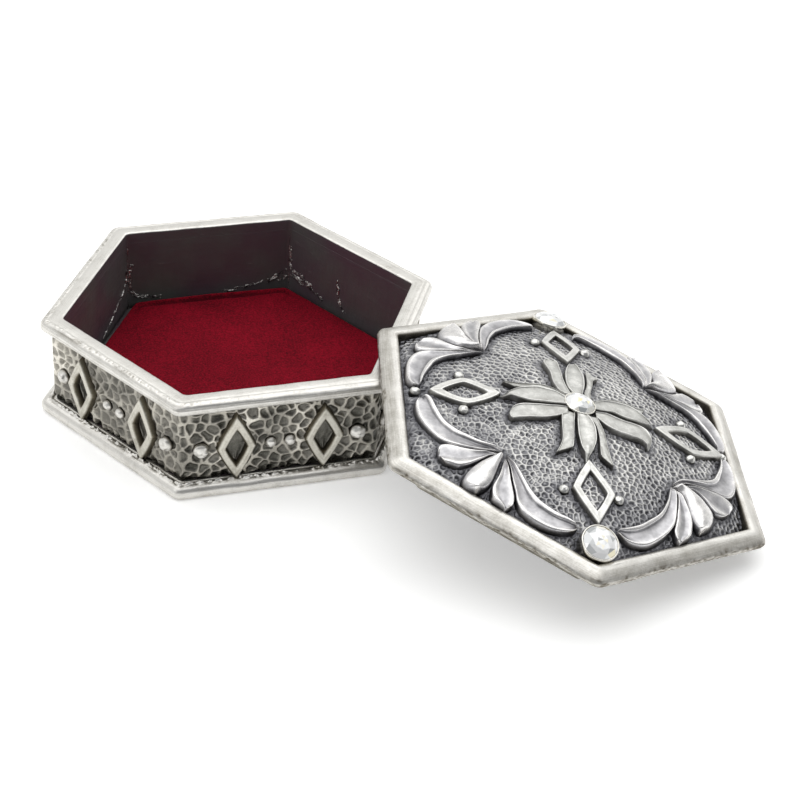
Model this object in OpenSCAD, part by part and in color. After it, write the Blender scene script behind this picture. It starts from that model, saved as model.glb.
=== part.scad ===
// Six-sided rosary box in cast pewter, with its lid taken off and leaning on one corner of the box.
// Millimetres. Origin: middle of the box's underside. +Z up, a flat side of the box faces -Y.
// Every "corner radius" is measured from the middle of the hexagon to the sharp corner.

/* [Box] */
// Corner radius of the mouth (inside of the walls)
mouth_r = 27.5; // [24:0.1:31]
// Thickness of the side walls
wall_t = 1.7; // [1.2:0.1:2.2]
// Height of the side walls between base plate and rim
wall_h = 12.4; // [11.6:0.1:20]
// Thickness of the base plate
base_h = 2.1; // [1.5:0.1:3]
// How far the base plate stands out past the walls
base_lip = 1.85; // [1.2:0.05:2.6]
// Height of the rim moulding
rim_h = 1.9; // [1.5:0.1:2.6]
// Width of the rim moulding
rim_w = 3.2; // [3:0.1:4]
// Rounding of the outer corners
corner_round = 1.8; // [1:0.1:3]
// Rounding of the inner corners
mouth_round = 0.9; // [0.5:0.1:1.5]

/* [Side ornament] */
// Half the height of a side lozenge
loz_half_h = 5.4; // [4:0.1:5.6]
// Half the width of a side lozenge
loz_half_w = 2.85; // [2:0.05:3.2]
// Width of a lozenge's bars
loz_bar = 1.15; // [0.8:0.05:1.4]
// Relief of the side ornament
side_relief = 1.0; // [0.6:0.05:1.2]
// Radius of the two beads between the lozenges
bead_r = 0.75; // [0.5:0.05:1]
// Distance of those beads from the middle of the side
bead_out = 1.45; // [1.2:0.05:1.7]
// Radius of the bead near each corner
corner_bead_r = 0.95; // [0.6:0.05:1.1]
// Distance of the corner beads from the end of the wall
corner_bead_in = 3.0; // [2.6:0.1:3.4]

/* [Velvet pad] */
// Gap between pad and walls
pad_gap = 1.3; // [0.6:0.1:2]
// Thickness of the card
card_t = 0.9; // [0.6:0.1:1.5]
// Thickness of the velvet with its wadding
velvet_t = 1.3; // [0.8:0.1:2]
// How far the velvet stands out past the card
velvet_over = 0.4; // [0.2:0.05:0.8]

/* [Lid] */
// How far the field inside the lid's rim reaches past the mouth's corners
field_over = 1.7; // [1.5:0.05:2.5]
// Width of the lid's rim
lid_rim_w = 2.95; // [2.6:0.05:3.4]
// Height of the lid's rim
lid_rim_h = 1.8; // [1.6:0.05:2.2]
// Height of the domed field's top above the underside
dome_h = 5.2; // [5.1:0.05:5.4]
// Height of the field's corners above the underside
dome_edge_h = 0.35; // [0.3:0.05:0.5]
// Depth of the hollow in the lid's underside
hollow_h = 3.2; // [2.6:0.1:3.4]
// Ledge between the lip and the hollow
hollow_ledge = 0.6; // [0.3:0.1:2]
// Depth of the locating lip
lip_h = 4.4; // [3.6:0.1:5.2]
// Thickness of the lip's lower edge
lip_t = 1.0; // [0.8:0.1:1.2]
// Side clearance of the lip in the mouth
lip_clear = 0.6; // [0.3:0.05:0.8]
// How far the lip's lower edge is drawn in
lip_lead = 0.8; // [0.4:0.05:1]

/* [Lid ornament] */
// Height of the ornament above the field
relief = 1.2; // [0.8:0.05:1.6]
// Reach of the cross's arms
arm_reach = 11.5; // [10:0.1:12]
// Half the width of an arm's middle petal
petal_w = 1.6; // [1.2:0.05:1.7]
// Half the width of an arm's side petals
side_petal_w = 0.9; // [0.6:0.05:1]
// Gap between an arm's tip and the lozenge beyond it
lid_loz_gap = 0.4; // [0.3:0.05:0.9]
// Gap between the outer end of a lozenge and the rim
lid_loz_room = 2.3; // [2:0.1:3.5]
// Half the width of the lid's lozenges
lid_loz_w = 3.15; // [2.6:0.05:3.4]
// Width of those lozenges' bars
lid_loz_bar = 1.05; // [0.8:0.05:1.3]
// Radius of the lid's beads
lid_bead_r = 0.7; // [0.5:0.05:0.75]
// Where a palmette's leaves start, along each axis, as a share of the field's radius
palm_start_ratio = 0.425; // [0.42:0.005:0.44]
// Half the width of the long leaves
long_leaf_w = 1.5; // [1:0.05:1.6]
// Half the width of the two small leaves
small_leaf_w = 1.35; // [1:0.05:1.5]
// Half the width of the middle leaf
middle_leaf_w = 1.85; // [1.4:0.05:1.9]
// Extra height of the middle leaf
middle_leaf_rise = 0.5; // [0.2:0.05:0.7]

/* [Crystals] */
// Radius of the middle crystal
centre_stone_r = 2.35; // [2:0.05:2.4]
// Radius of the two corner crystals
corner_stone_r = 2.6; // [2.2:0.05:2.7]
// Distance of the corner crystals from the corners of the field
corner_stone_in = 2.3; // [2:0.1:2.5]
// Wall of the cups that hold the crystals
cup_wall = 0.3; // [0.2:0.05:0.4]
// Height of a crystal above its cup
stone_crown = 0.75; // [0.5:0.05:1]
// Height of the middle cup above the field
centre_cup_rise = 1.2; // [0.9:0.05:1.5]
// Height of the corner cups above the underside
corner_cup_top = 2.75; // [2.5:0.05:3.1]

/* [Lid at rest] */
// Compass direction in which the lid slopes down
lean_dir = -24.5; // [-26:0.1:-23]
// Turn of the lid about its own middle
lid_spin = 11.2; // [9.6:0.1:12.6]
// Where the lid's edge rests on the right rim, from the middle of that side
lean_at = -1.0; // [-3:0.1:2]
// How far that place lies inside the lid's corner circle, along the slope
lean_in = 2.5; // [2:0.1:3]
// Gap between the lid's underside and the box's rim
lean_gap = 0.15; // [0.1:0.05:0.4]
// Gap between the lid's lowest corner and the table
table_gap = 0.05; // [0:0.01:0.2]

/* [Hidden] */

// Finishes
pewter = "#b9b6ae";
bright_pewter = "#d6d3cc";
dark_pewter = "#77756d";
crimson = "#7a0f1e";
card_grey = "#8b8378";
crystal = "#eef2f5";

// Steps in a rounded corner, and in a leaf's outline
corner_steps = 4;
leaf_steps = 12;
// Smallest rounding that still makes a clean corner
least_round = 0.3;
// Room for cuts that run past a surface
over = 1;

half_side = 180 / 6;
mouth_a = mouth_r * cos(half_side);
wall_a = mouth_a + wall_t;
wall_r = wall_a / cos(half_side);
base_a = wall_a + base_lip;
rim_a = mouth_a + rim_w;
corner_bead_out = wall_r / 2 - corner_bead_in;
loz_out = (bead_out + corner_bead_out) / 2;
rim_z = base_h + wall_h;
box_h = rim_z + rim_h;
pad_a = mouth_a - pad_gap;

field_r = mouth_r + field_over;
field_a = field_r * cos(half_side);
lid_a = field_a + lid_rim_w;
dome_rise = dome_h - dome_edge_h;
dome_r = (field_r * field_r + dome_rise * dome_rise) / (2 * dome_rise);
lip_a = mouth_a - lip_clear;
lip_low_a = lip_a - lip_lead;
lip_in_a = lip_low_a - lip_t;
lip_low_round = mouth_round;
// Roundings of the mouldings' edges
base_edge = 0.45;
rim_edge = 0.95;
rim_line = 0.15;
lid_edge = 0.3;

// Lozenges stand half way up the wall
loz_z = base_h + wall_h / 2 - 0.2;

// Height of the lid's field at distance r from its middle
function field_z(r) = dome_h - dome_r + sqrt(dome_r * dome_r - r * r);

// Points of a hexagon with rounded corners; a is the distance to a flat side
function hex_points(a, round) = [
    for (k = [0:5]) for (i = [0:corner_steps])
        let (corner = 60 * k, turn = corner - 30 + 60 * i / corner_steps,
             middle = (a - round) / cos(half_side))
        [middle * cos(corner) + round * cos(turn), middle * sin(corner) + round * sin(turn)]];

// A closed moulding: each profile point is [distance to the flat side, height, corner rounding]
module hex_moulding(profile, hollow) {
    rings = len(profile);
    around = 6 * (corner_steps + 1);
    points = [for (p = profile) for (q = hex_points(p[0], p[2])) [q[0], q[1], p[1]]];
    sides = [for (j = [0:rings - (hollow ? 1 : 2)]) for (i = [0:around - 1])
        let (n = (i + 1) % around, up = (j + 1) % rings)
        [j * around + i, up * around + i, up * around + n, j * around + n]];
    caps = hollow ? [] : [
        [for (i = [0:around - 1]) i],
        [for (i = [around - 1:-1:0]) (rings - 1) * around + i]];
    polyhedron(points = points, faces = concat(sides, caps), convexity = 6);
}

module hex_prism(a, round, h) {
    linear_extrude(height = h) polygon(hex_points(a, round));
}

/* Box */

module base_plate() {
    round = corner_round;
    color(pewter) hex_moulding([
        [base_a - base_edge, 0, round - base_edge],
        [base_a - base_edge / 4, base_h * 0.17, round - base_edge / 4],
        [base_a, base_h * 0.4, round],
        [base_a - base_edge / 6, base_h * 0.68, round - base_edge / 6],
        [base_a - base_edge, base_h * 0.9, round - base_edge],
        [base_a - 2 * base_edge, base_h, round - 2 * base_edge]], false);
}

// One wall: its ends are mitred, so that six of them close the hexagon
module wall_panel(facing) {
    outer = wall_a * tan(half_side);
    inner = mouth_a * tan(half_side);
    color(dark_pewter) rotate([0, 0, facing]) translate([0, 0, base_h])
        linear_extrude(height = wall_h)
            polygon([[mouth_a, -inner], [wall_a, -outer], [wall_a, outer], [mouth_a, inner]]);
}

module top_rim() {
    round = corner_round;
    color(bright_pewter) translate([0, 0, rim_z]) hex_moulding([
        [mouth_a, 0, mouth_round],
        [rim_a - rim_edge / 2, 0, round - rim_edge / 2],
        [rim_a - rim_edge / 6, rim_h * 0.14, round - rim_edge / 6],
        [rim_a, rim_h * 0.4, round],
        [rim_a - rim_edge / 6, rim_h * 0.72, round - rim_edge / 6],
        [rim_a - rim_edge / 2, rim_h * 0.92, round - rim_edge / 2],
        [rim_a - rim_edge, rim_h - rim_line, round - rim_edge],
        [rim_a - rim_edge - rim_line, rim_h, round - rim_edge - rim_line],
        [mouth_a + 2 * rim_line, rim_h, mouth_round + 2 * rim_line],
        [mouth_a, rim_h - 2 * rim_line, mouth_round]], true);
}

// A lozenge-shaped frame, drawn flat: half height, half width, width of the bars
module lozenge_frame(half_h, half_w, bar) {
    // The opening keeps the bars' width all round
    slant = sqrt(half_h * half_h + half_w * half_w);
    in_h = half_h - bar * slant / half_w;
    in_w = half_w - bar * slant / half_h;
    difference() {
        polygon([[half_w, 0], [0, half_h], [-half_w, 0], [0, -half_h]]);
        polygon([[in_w, 0], [0, in_h], [-in_w, 0], [0, -in_h]]);
    }
}

// Lays a flat drawing on the outer face of the wall that faces the given way
module on_wall(facing) {
    rotate([0, 0, facing]) translate([wall_a, 0, loz_z]) rotate([90, 0, 90]) children();
}

module side_lozenges(facing) {
    color(pewter) on_wall(facing)
        for (side = [-1, 1])
            translate([side * loz_out, 0, 0]) linear_extrude(height = side_relief)
                lozenge_frame(loz_half_h, loz_half_w, loz_bar);
}

// A bead: the outer half of a ball
module half_ball(r) {
    intersection() {
        sphere(r = r, $fn = 32);
        translate([-r - over, -r - over, 0]) cube([2 * (r + over), 2 * (r + over), r + over]);
    }
}

module side_beads(facing) {
    color(bright_pewter) on_wall(facing)
        for (side = [-1, 1]) {
            translate([side * bead_out, 0, 0]) half_ball(bead_r);
            translate([side * corner_bead_out, 0, 0]) half_ball(corner_bead_r);
        }
}

module pad_card() {
    color(card_grey) translate([0, 0, base_h])
        hex_prism(pad_a - velvet_over, least_round, card_t);
}

module velvet_pad() {
    color(crimson) translate([0, 0, base_h + card_t])
        hex_prism(pad_a, least_round + velvet_over, velvet_t);
}

/* Lid, drawn lying flat: z = 0 is its underside, +Y points at the far crystal */

// Turns the hexagon so that two corners lie on the Y axis
lid_turn = 30;

module dome_solid(rise) {
    translate([0, 0, dome_h - dome_r]) sphere(r = dome_r + rise, $fn = 96);
}

// Where the corner crystals stand: [x, y]
corner_stone_at = field_r - corner_stone_in;
corner_stones = [[0, corner_stone_at], [0, -corner_stone_at]];
centre_seat_z = dome_h - 0.4;
corner_seat_z = 0.9;
centre_cup_r = centre_stone_r + cup_wall;
corner_cup_r = corner_stone_r + cup_wall;

module corner_pockets() {
    for (p = corner_stones)
        translate([p[0], p[1], corner_seat_z])
            cylinder(r = corner_cup_r, h = lid_rim_h + over, $fn = 48);
}

// Radius of the hollow's edge, and of the ball that makes it
hollow_r = lip_in_a - hollow_ledge;
hollow_ball = (hollow_r * hollow_r + hollow_h * hollow_h) / (2 * hollow_h);

module lid_plate() {
    color(dark_pewter) lid_at_rest() difference() {
        intersection() {
            rotate([0, 0, lid_turn]) hex_prism(field_a, least_round, dome_h + over);
            dome_solid(0);
        }
        corner_pockets();
        translate([0, 0, centre_seat_z]) cylinder(r = centre_cup_r, h = over, $fn = 48);
        translate([0, 0, hollow_h - hollow_ball]) sphere(r = hollow_ball, $fn = 96);
    }
}

module lid_rim() {
    round = corner_round + 0.2;
    slope = lid_rim_w - lid_edge;
    color(bright_pewter) lid_at_rest() difference() {
        rotate([0, 0, lid_turn]) hex_moulding([
            [field_a, 0, least_round],
            [lid_a - lid_edge, 0, round - lid_edge],
            [lid_a, lid_edge, round],
            [lid_a, lid_rim_h * 0.38, round],
            [lid_a - slope * 0.12, lid_rim_h * 0.58, round - slope * 0.12],
            [lid_a - slope * 0.36, lid_rim_h * 0.8, round - slope * 0.36],
            [field_a + slope * 0.38, lid_rim_h, least_round + slope * 0.3],
            [field_a + slope * 0.14, lid_rim_h, least_round + slope * 0.1],
            [field_a, lid_rim_h * 0.9, least_round]], true);
        corner_pockets();
    }
}

module lid_lip() {
    round = lip_low_round;
    color(pewter) lid_at_rest() rotate([0, 0, lid_turn]) hex_moulding([
        [lip_in_a, -lip_h, least_round],
        [lip_low_a, -lip_h, round],
        [lip_a, -lip_h * 0.45, round + lip_lead],
        [lip_a, 0, round + lip_lead],
        [lip_in_a, 0, least_round]], true);
}

// Cuts a flat drawing out of the shell that lies on the dome, rise high
module on_dome(rise) {
    difference() {
        intersection() {
            linear_extrude(height = dome_h + rise + over) children();
            dome_solid(rise);
        }
        dome_solid(0);
    }
}

// A curve through three control points, and its heading
function curve(p, t) = (1 - t) * (1 - t) * p[0] + 2 * t * (1 - t) * p[1] + t * t * p[2];
function heading(p, t) =
    let (d = 2 * (1 - t) * (p[1] - p[0]) + 2 * t * (p[2] - p[1])) atan2(d[1], d[0]);

// Half the width of a leaf that swells from a point to a round end
leaf_swell = 130;
function leaf_width(t, w) = w * sin(leaf_swell * t);

// A leaf along a curve: pointed at its start, round at its end
module leaf(p, w) {
    tip = leaf_width(1, w);
    end = heading(p, 1);
    left = [for (i = [0:leaf_steps]) let (t = i / leaf_steps, a = heading(p, t) + 90)
        curve(p, t) + leaf_width(t, w) * [cos(a), sin(a)]];
    cap = [for (a = [60:-30:-60]) curve(p, 1) + tip * [cos(end + a), sin(end + a)]];
    right = [for (i = [leaf_steps:-1:1]) let (t = i / leaf_steps, a = heading(p, t) - 90)
        curve(p, t) + leaf_width(t, w) * [cos(a), sin(a)]];
    polygon(concat(left, cap, right));
}

// A bar along a curve that keeps its width and then hooks out to a point
module hooked_bar(p, w) {
    left = [for (i = [0:leaf_steps]) let (t = i / leaf_steps, a = heading(p, t) + 90)
        curve(p, t) + w * (1 - pow(t, 4)) * [cos(a), sin(a)]];
    right = [for (i = [leaf_steps - 1:-1:0]) let (t = i / leaf_steps, a = heading(p, t) - 90)
        curve(p, t) + w * (1 - pow(t, 4)) * [cos(a), sin(a)]];
    polygon(concat(left, right));
}

// The middle petal of an arm, pointed at its outer end
petal_start = centre_cup_r + 0.05;
module middle_petal() {
    length = arm_reach - petal_start;
    steps = leaf_steps;
    width = [for (i = [0:steps]) let (t = i / steps) petal_w * pow(sin(180 * pow(1 - t, 1.35)), 0.6)];
    outline = concat(
        [for (i = [0:steps]) [petal_start + length * i / steps, max(width[i], 0)]],
        [for (i = [steps - 1:-1:1]) [petal_start + length * i / steps, -width[i]]]);
    polygon(outline);
}

// Gap between neighbouring petals
petal_gap = 0.2;
side_petal_v = petal_w + petal_gap + side_petal_w;

// One arm of the cross: a pointed petal between two petals that hook outwards
module cross_arm(heading_to) {
    reach = arm_reach;
    wedge = reach + 4;
    color(bright_pewter) lid_at_rest() rotate([0, 0, heading_to]) {
        on_dome(relief) middle_petal();
        for (side = [-1, 1])
            on_dome(relief) mirrored(side) intersection() {
                hooked_bar([[petal_start - 0.2, side_petal_v * 0.62],
                    [reach * 0.78, side_petal_v * 0.95],
                    [reach * 0.94, side_petal_v * 1.6]], side_petal_w);
                difference() {
                    polygon([[petal_gap, 0], [wedge, 0], [wedge, wedge - petal_gap]]);
                    petal_with_gap();
                    circle(r = petal_start, $fn = 48);
                }
            }
    }
}

// The middle petal with the gap round it
module petal_with_gap() {
    for (d = [-petal_gap, 0, petal_gap])
        translate([d / 2, d]) middle_petal();
}

module mirrored(side) {
    if (side > 0) children();
    else mirror([0, 1, 0]) children();
}

lid_loz_in = arm_reach + lid_loz_gap;
lid_loz_out = field_a - lid_loz_room;
lid_loz_mid = (lid_loz_in + lid_loz_out) / 2;
module lid_lozenge(heading_to) {
    color(bright_pewter) lid_at_rest() rotate([0, 0, heading_to]) on_dome(relief)
        translate([lid_loz_mid, 0]) rotate([0, 0, 90])
            lozenge_frame((lid_loz_out - lid_loz_in) / 2, lid_loz_w, lid_loz_bar);
}

// A bead on the dome: half a ball, standing square to the surface
module dome_bead(x, y) {
    translate([0, 0, dome_h - dome_r])
        rotate([0, asin(norm([x, y]) / dome_r), atan2(y, x)])
            translate([0, 0, dome_r]) half_ball(lid_bead_r);
}

// Gap between a lozenge's side corner and its bead
lid_bead_gap = 0.2;
module lid_beads() {
    across = lid_loz_w + lid_bead_gap + lid_bead_r;
    color(bright_pewter) lid_at_rest() {
        for (turn = [0:90:270]) rotate([0, 0, turn])
            for (side = [-1, 1]) dome_bead(lid_loz_mid, side * across);
        for (side = [-1, 1]) dome_bead(side * (lid_loz_out + lid_bead_gap + lid_bead_r), 0);
    }
}

// The five leaves of a palmette; every curve starts at the root and is a share of the field's radius
palm = [palm_start_ratio, palm_start_ratio];
side_leaf = field_r * [palm, palm + [0.397, 0.007], palm + [0.37, -0.308]];
end_leaf = field_r * [palm, palm + [-0.028, 0.383], palm + [-0.302, 0.397]];
small_leaf_a = field_r * [palm, palm + [0.171, 0.027], palm + [0.281, 0.079]];
middle_leaf = field_r * [palm, palm + [0.075, 0.096], palm + [0.144, 0.178]];
small_leaf_b = field_r * [palm, palm + [0.007, 0.156], palm + [0.017, 0.27]];

module palmette(x_side, y_side) {
    color(bright_pewter) lid_at_rest()
        mirror([x_side < 0 ? 1 : 0, 0, 0]) mirror([0, y_side < 0 ? 1 : 0, 0])
            union() {
                on_dome(relief) {
                    leaf(side_leaf, long_leaf_w);
                    leaf(end_leaf, long_leaf_w);
                    leaf(small_leaf_a, small_leaf_w);
                    leaf(small_leaf_b, small_leaf_w);
                }
                on_dome(relief + middle_leaf_rise) leaf(middle_leaf, middle_leaf_w);
            }
}

// A crystal: pointed below, with a flat table on top; twelve facets round
facets = 12;
stone_depth = 0.9;
module crystal_solid(r, girdle_z) {
    translate([0, 0, girdle_z]) cylinder(r1 = r, r2 = r * 0.6, h = stone_crown, $fn = facets);
    translate([0, 0, girdle_z - stone_depth])
        cylinder(r1 = r * 0.35, r2 = r, h = stone_depth, $fn = facets);
}

// A cup: bored for the crystal, closed below
cup_floor = 0.25;
module cup_solid(stone_r, seat_z, top_z) {
    difference() {
        translate([0, 0, seat_z]) cylinder(r = stone_r + cup_wall, h = top_z - seat_z, $fn = 48);
        translate([0, 0, top_z - stone_depth]) cylinder(r = stone_r, h = stone_depth + over, $fn = 48);
    }
}

centre_cup_top = dome_h + centre_cup_rise;
module cup_centre() {
    color(pewter) lid_at_rest() cup_solid(centre_stone_r, centre_seat_z, centre_cup_top);
}
module stone_centre() {
    color(crystal) lid_at_rest() crystal_solid(centre_stone_r, centre_cup_top);
}
module corner_cup(place) {
    color(pewter) lid_at_rest() translate([place[0], place[1], 0])
        cup_solid(corner_stone_r, corner_seat_z, corner_cup_top);
}
module corner_stone(place) {
    color(crystal) lid_at_rest() translate([place[0], place[1], 0])
        crystal_solid(corner_stone_r, corner_cup_top);
}

/* The lid at rest: its lip stands on the table with one corner, its edge leans on the box's rim */

// Distance along the slope from the lid's middle to the lip's lowest corner, and up to the rim
lip_corner_r = (lip_low_a - lip_low_round) / cos(half_side);
lip_reach = lip_corner_r * cos(half_side - lid_spin) + lip_low_round;
lean_reach = field_r - lean_in;

// The tilt at which the lip meets the table while the underside meets the rim's crest
slope_run = lip_reach + lean_reach;
rest_rise = box_h + lean_gap - table_gap;
lid_tilt = atan2(slope_run, lip_h) - acos(rest_rise / norm([slope_run, lip_h]));
lid_z = lip_h * cos(lid_tilt) + lip_reach * sin(lid_tilt) + table_gap;

// The place on the crest of the right rim, as seen along the slope
rim_facing = -half_side - lean_dir;
crest_a = rim_a - rim_edge;
crest_at = crest_a * cos(rim_facing) - lean_at * sin(rim_facing);
cross_at = crest_a * sin(rim_facing) + lean_at * cos(rim_facing);

// The lid's middle, so that its edge crosses the crest at that place
edge_facing = 120 + lid_spin;
lid_x = crest_at + lean_reach * cos(lid_tilt);
lid_side = cross_at
    - (lid_a - lid_edge + lean_reach * cos(edge_facing)) / sin(edge_facing);

module lid_at_rest() {
    rotate([0, 0, lean_dir]) translate([lid_x, lid_side, lid_z])
        rotate([0, lid_tilt, 0]) rotate([0, 0, lid_spin]) children();
}

base_plate();
wall_panel(270);  // wall_front
wall_panel(330);  // wall_front_right
wall_panel(30);  // wall_back_right
wall_panel(90);  // wall_back
wall_panel(150);  // wall_back_left
wall_panel(210);  // wall_front_left
top_rim();
side_lozenges(270);  // lozenges_front
side_lozenges(330);  // lozenges_front_right
side_lozenges(30);  // lozenges_back_right
side_lozenges(90);  // lozenges_back
side_lozenges(150);  // lozenges_back_left
side_lozenges(210);  // lozenges_front_left
side_beads(270);  // beads_front
side_beads(330);  // beads_front_right
side_beads(30);  // beads_back_right
side_beads(90);  // beads_back
side_beads(150);  // beads_back_left
side_beads(210);  // beads_front_left
pad_card();
velvet_pad();
lid_plate();
lid_rim();
lid_lip();
cross_arm(0);  // cross_arm_right
cross_arm(90);  // cross_arm_far
cross_arm(180);  // cross_arm_left
cross_arm(270);  // cross_arm_near
lid_lozenge(0);  // lid_lozenge_right
lid_lozenge(90);  // lid_lozenge_far
lid_lozenge(180);  // lid_lozenge_left
lid_lozenge(270);  // lid_lozenge_near
lid_beads();
palmette(1, 1);  // palmette_far_right
palmette(-1, 1);  // palmette_far_left
palmette(-1, -1);  // palmette_near_left
palmette(1, -1);  // palmette_near_right
cup_centre();
corner_cup(corner_stones[0]);  // cup_far
corner_cup(corner_stones[1]);  // cup_near
stone_centre();
corner_stone(corner_stones[0]);  // stone_far
corner_stone(corner_stones[1]);  // stone_near
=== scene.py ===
"""A six-sided rosary box in cast pewter with its lid leaning on it: how it looks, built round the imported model."""

import math

import bmesh
import bpy
import numpy as np
from mathutils import Matrix


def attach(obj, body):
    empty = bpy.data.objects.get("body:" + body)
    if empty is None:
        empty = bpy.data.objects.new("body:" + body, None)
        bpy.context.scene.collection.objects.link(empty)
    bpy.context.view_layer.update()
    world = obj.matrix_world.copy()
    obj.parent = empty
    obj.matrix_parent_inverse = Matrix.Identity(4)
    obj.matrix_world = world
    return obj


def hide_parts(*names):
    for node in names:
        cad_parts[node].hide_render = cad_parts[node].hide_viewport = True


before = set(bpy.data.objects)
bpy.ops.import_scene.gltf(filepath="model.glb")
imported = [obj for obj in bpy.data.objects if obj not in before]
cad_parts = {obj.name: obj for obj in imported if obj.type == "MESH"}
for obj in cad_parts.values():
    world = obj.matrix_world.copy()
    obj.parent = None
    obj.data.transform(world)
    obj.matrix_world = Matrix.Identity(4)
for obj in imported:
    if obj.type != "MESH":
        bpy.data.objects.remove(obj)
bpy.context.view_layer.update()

# ---- Stage, lamps and camera ----
# A white table top under a studio tent: bright cloth behind, a dimmer room in front, a broad lamp overhead, and
# small ones at the left and at the back right. The floor is lifted to white for the eye alone, and keeps the shadows.


def linear(hex_colour):
    """An sRGB hex colour as linear RGBA"""
    parts = [int(hex_colour[i:i + 2], 16) / 255 for i in (1, 3, 5)]
    return [c / 12.92 if c <= 0.04045 else ((c + 0.055) / 1.055) ** 2.4 for c in parts] + [1.0]


def feed(tree, node, feeds):
    """Sets sockets of a node, each to a number or a colour, or links them to another node or socket"""
    for socket, value in feeds.items():
        if isinstance(value, bpy.types.Node):
            value = value.outputs[0]
        if isinstance(value, bpy.types.NodeSocket):
            tree.links.new(value, node.inputs[socket])
        else:
            node.inputs[socket].default_value = value


def add(tree, kind, feeds=None, stops=(), **settings):
    """Adds one shader node with its settings, what feeds its sockets, and a ramp's stops as (place, hex)"""
    made = tree.nodes.new("ShaderNode" + kind)
    for name, value in settings.items():
        setattr(made, name, value)
    feed(tree, made, feeds or {})
    if stops:
        ramp = made.color_ramp.elements
        ramp[0].position, ramp[1].position = stops[0][0], stops[-1][0]
        for place, _ in stops[1:-1]:
            ramp.new(place)
        for stop, (_, colour) in zip(ramp, stops):
            stop.color = linear(colour)
    return made


def new_material(name):
    """A material, its node tree and its main shader"""
    made = bpy.data.materials.new(name)
    made.use_nodes = True
    return made, made.node_tree, made.node_tree.nodes["Principled BSDF"]


scene = bpy.context.scene
scene.view_settings.view_transform = "Standard"

white_card, tree, shader = new_material("matt_white_card")
feed(tree, shader, {"Base Color": linear("#fcfcfb"), "Roughness": 0.9, "Specular IOR Level": 0.0})
ray = add(tree, "LightPath")
seen = add(tree, "Math", {0: ray.outputs["Is Camera Ray"], 1: ray.outputs["Is Glossy Ray"]}, operation="ADD")
seen = add(tree, "Math", {0: seen, 1: ray.outputs["Is Transmission Ray"]}, operation="ADD", use_clamp=True)
lift = add(tree, "Math", {0: seen, 1: 0.34}, operation="MULTIPLY")
glow = add(tree, "Emission", {"Color": linear("#ffffff"), "Strength": lift})
feed(tree, tree.nodes["Material Output"], {"Surface": add(tree, "AddShader", {0: shader, 1: glow})})

floor_mesh = bpy.data.meshes.new("table_top")
floor_half, floor_drop = 4.0, 0.00003
floor_corners = [(x * floor_half, y * floor_half, 0) for x, y in ((-1, -1), (1, -1), (1, 1), (-1, 1))]
floor_mesh.from_pydata(floor_corners, [], [(0, 1, 2, 3)])
floor = bpy.data.objects.new("table_top", floor_mesh)
floor.location.z = -floor_drop
floor_mesh.materials.append(white_card)
scene.collection.objects.link(floor)

world = bpy.data.worlds.new("tent")
scene.world = world
world.use_nodes = True
tree = world.node_tree
axes = add(tree, "SeparateXYZ", {0: add(tree, "TexCoord").outputs["Generated"]})
behind = add(tree, "MapRange", {"Value": axes.outputs["Y"], "From Min": -0.7, "From Max": 0.55},
             interpolation_type="SMOOTHSTEP")
cloth = add(tree, "ValToRGB", {0: behind}, [(0.0, "#8f9092"), (1.0, "#fbfbfa")])
feed(tree, tree.nodes["Background"], {"Color": cloth, "Strength": 0.92})


def soft_lamp(name, place, aim, width, height, power):
    """A rectangular lamp that faces a point, in metres and watts"""
    lamp = bpy.data.lights.new(name, "AREA")
    lamp.shape = "RECTANGLE"
    lamp.size, lamp.size_y, lamp.energy = width, height, power
    made = bpy.data.objects.new(name, lamp)
    scene.collection.objects.link(made)
    toward = np.array(aim) - np.array(place)
    toward = toward / np.linalg.norm(toward)
    side = np.cross(toward, (0, 0, 1.0) if abs(toward[2]) < 0.99 else (0, 1.0, 0))
    side /= np.linalg.norm(side)
    turn = np.stack([side, np.cross(side, toward), -toward], 1)
    made.matrix_world = Matrix(turn.tolist()).to_4x4()
    made.location = place


soft_lamp("overhead_lamp", (0.12, 0.10, 0.75), (0.12, 0.10, 0.0), 1.30, 1.10, 4.1)
soft_lamp("left_lamp", (-0.62, -0.22, 0.42), (0.0, 0.0, 0.01), 0.30, 0.40, 0.45)
soft_lamp("back_right_lamp", (0.446, 0.402, 0.361), (0.01, 0.0, 0.01), 0.32, 0.32, 0.18)

camera = bpy.data.objects.new("camera", bpy.data.cameras.new("camera"))
camera.data.lens = 82.19
camera.data.sensor_width = 36.0
camera.data.clip_start = 0.01
camera.matrix_world = Matrix(((0.95452, 0.11281, -0.27599, -0.05626), (-0.29128, 0.55044, -0.78241, -0.23611),
                              (0.06366, 0.82722, 0.55827, 0.16243), (0, 0, 0, 1)))
scene.collection.objects.link(camera)
scene.camera = camera

# ---- Foot ----
# The flat bottom plate, sand-cast in pewter. It stands out past the walls as a rounded flange, and where
# the walls were soldered to it a crumbly bright bead of metal was left along the joint.

BOX_SIDES = {"back": 90, "back_left": 150, "front_left": 210, "front": 270, "front_right": 330, "back_right": 30}
TAN30 = math.tan(math.radians(30))
base_h, wall_h = 2.1, 12.4
mouth_a, wall_a = 23.816, 25.516


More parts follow.
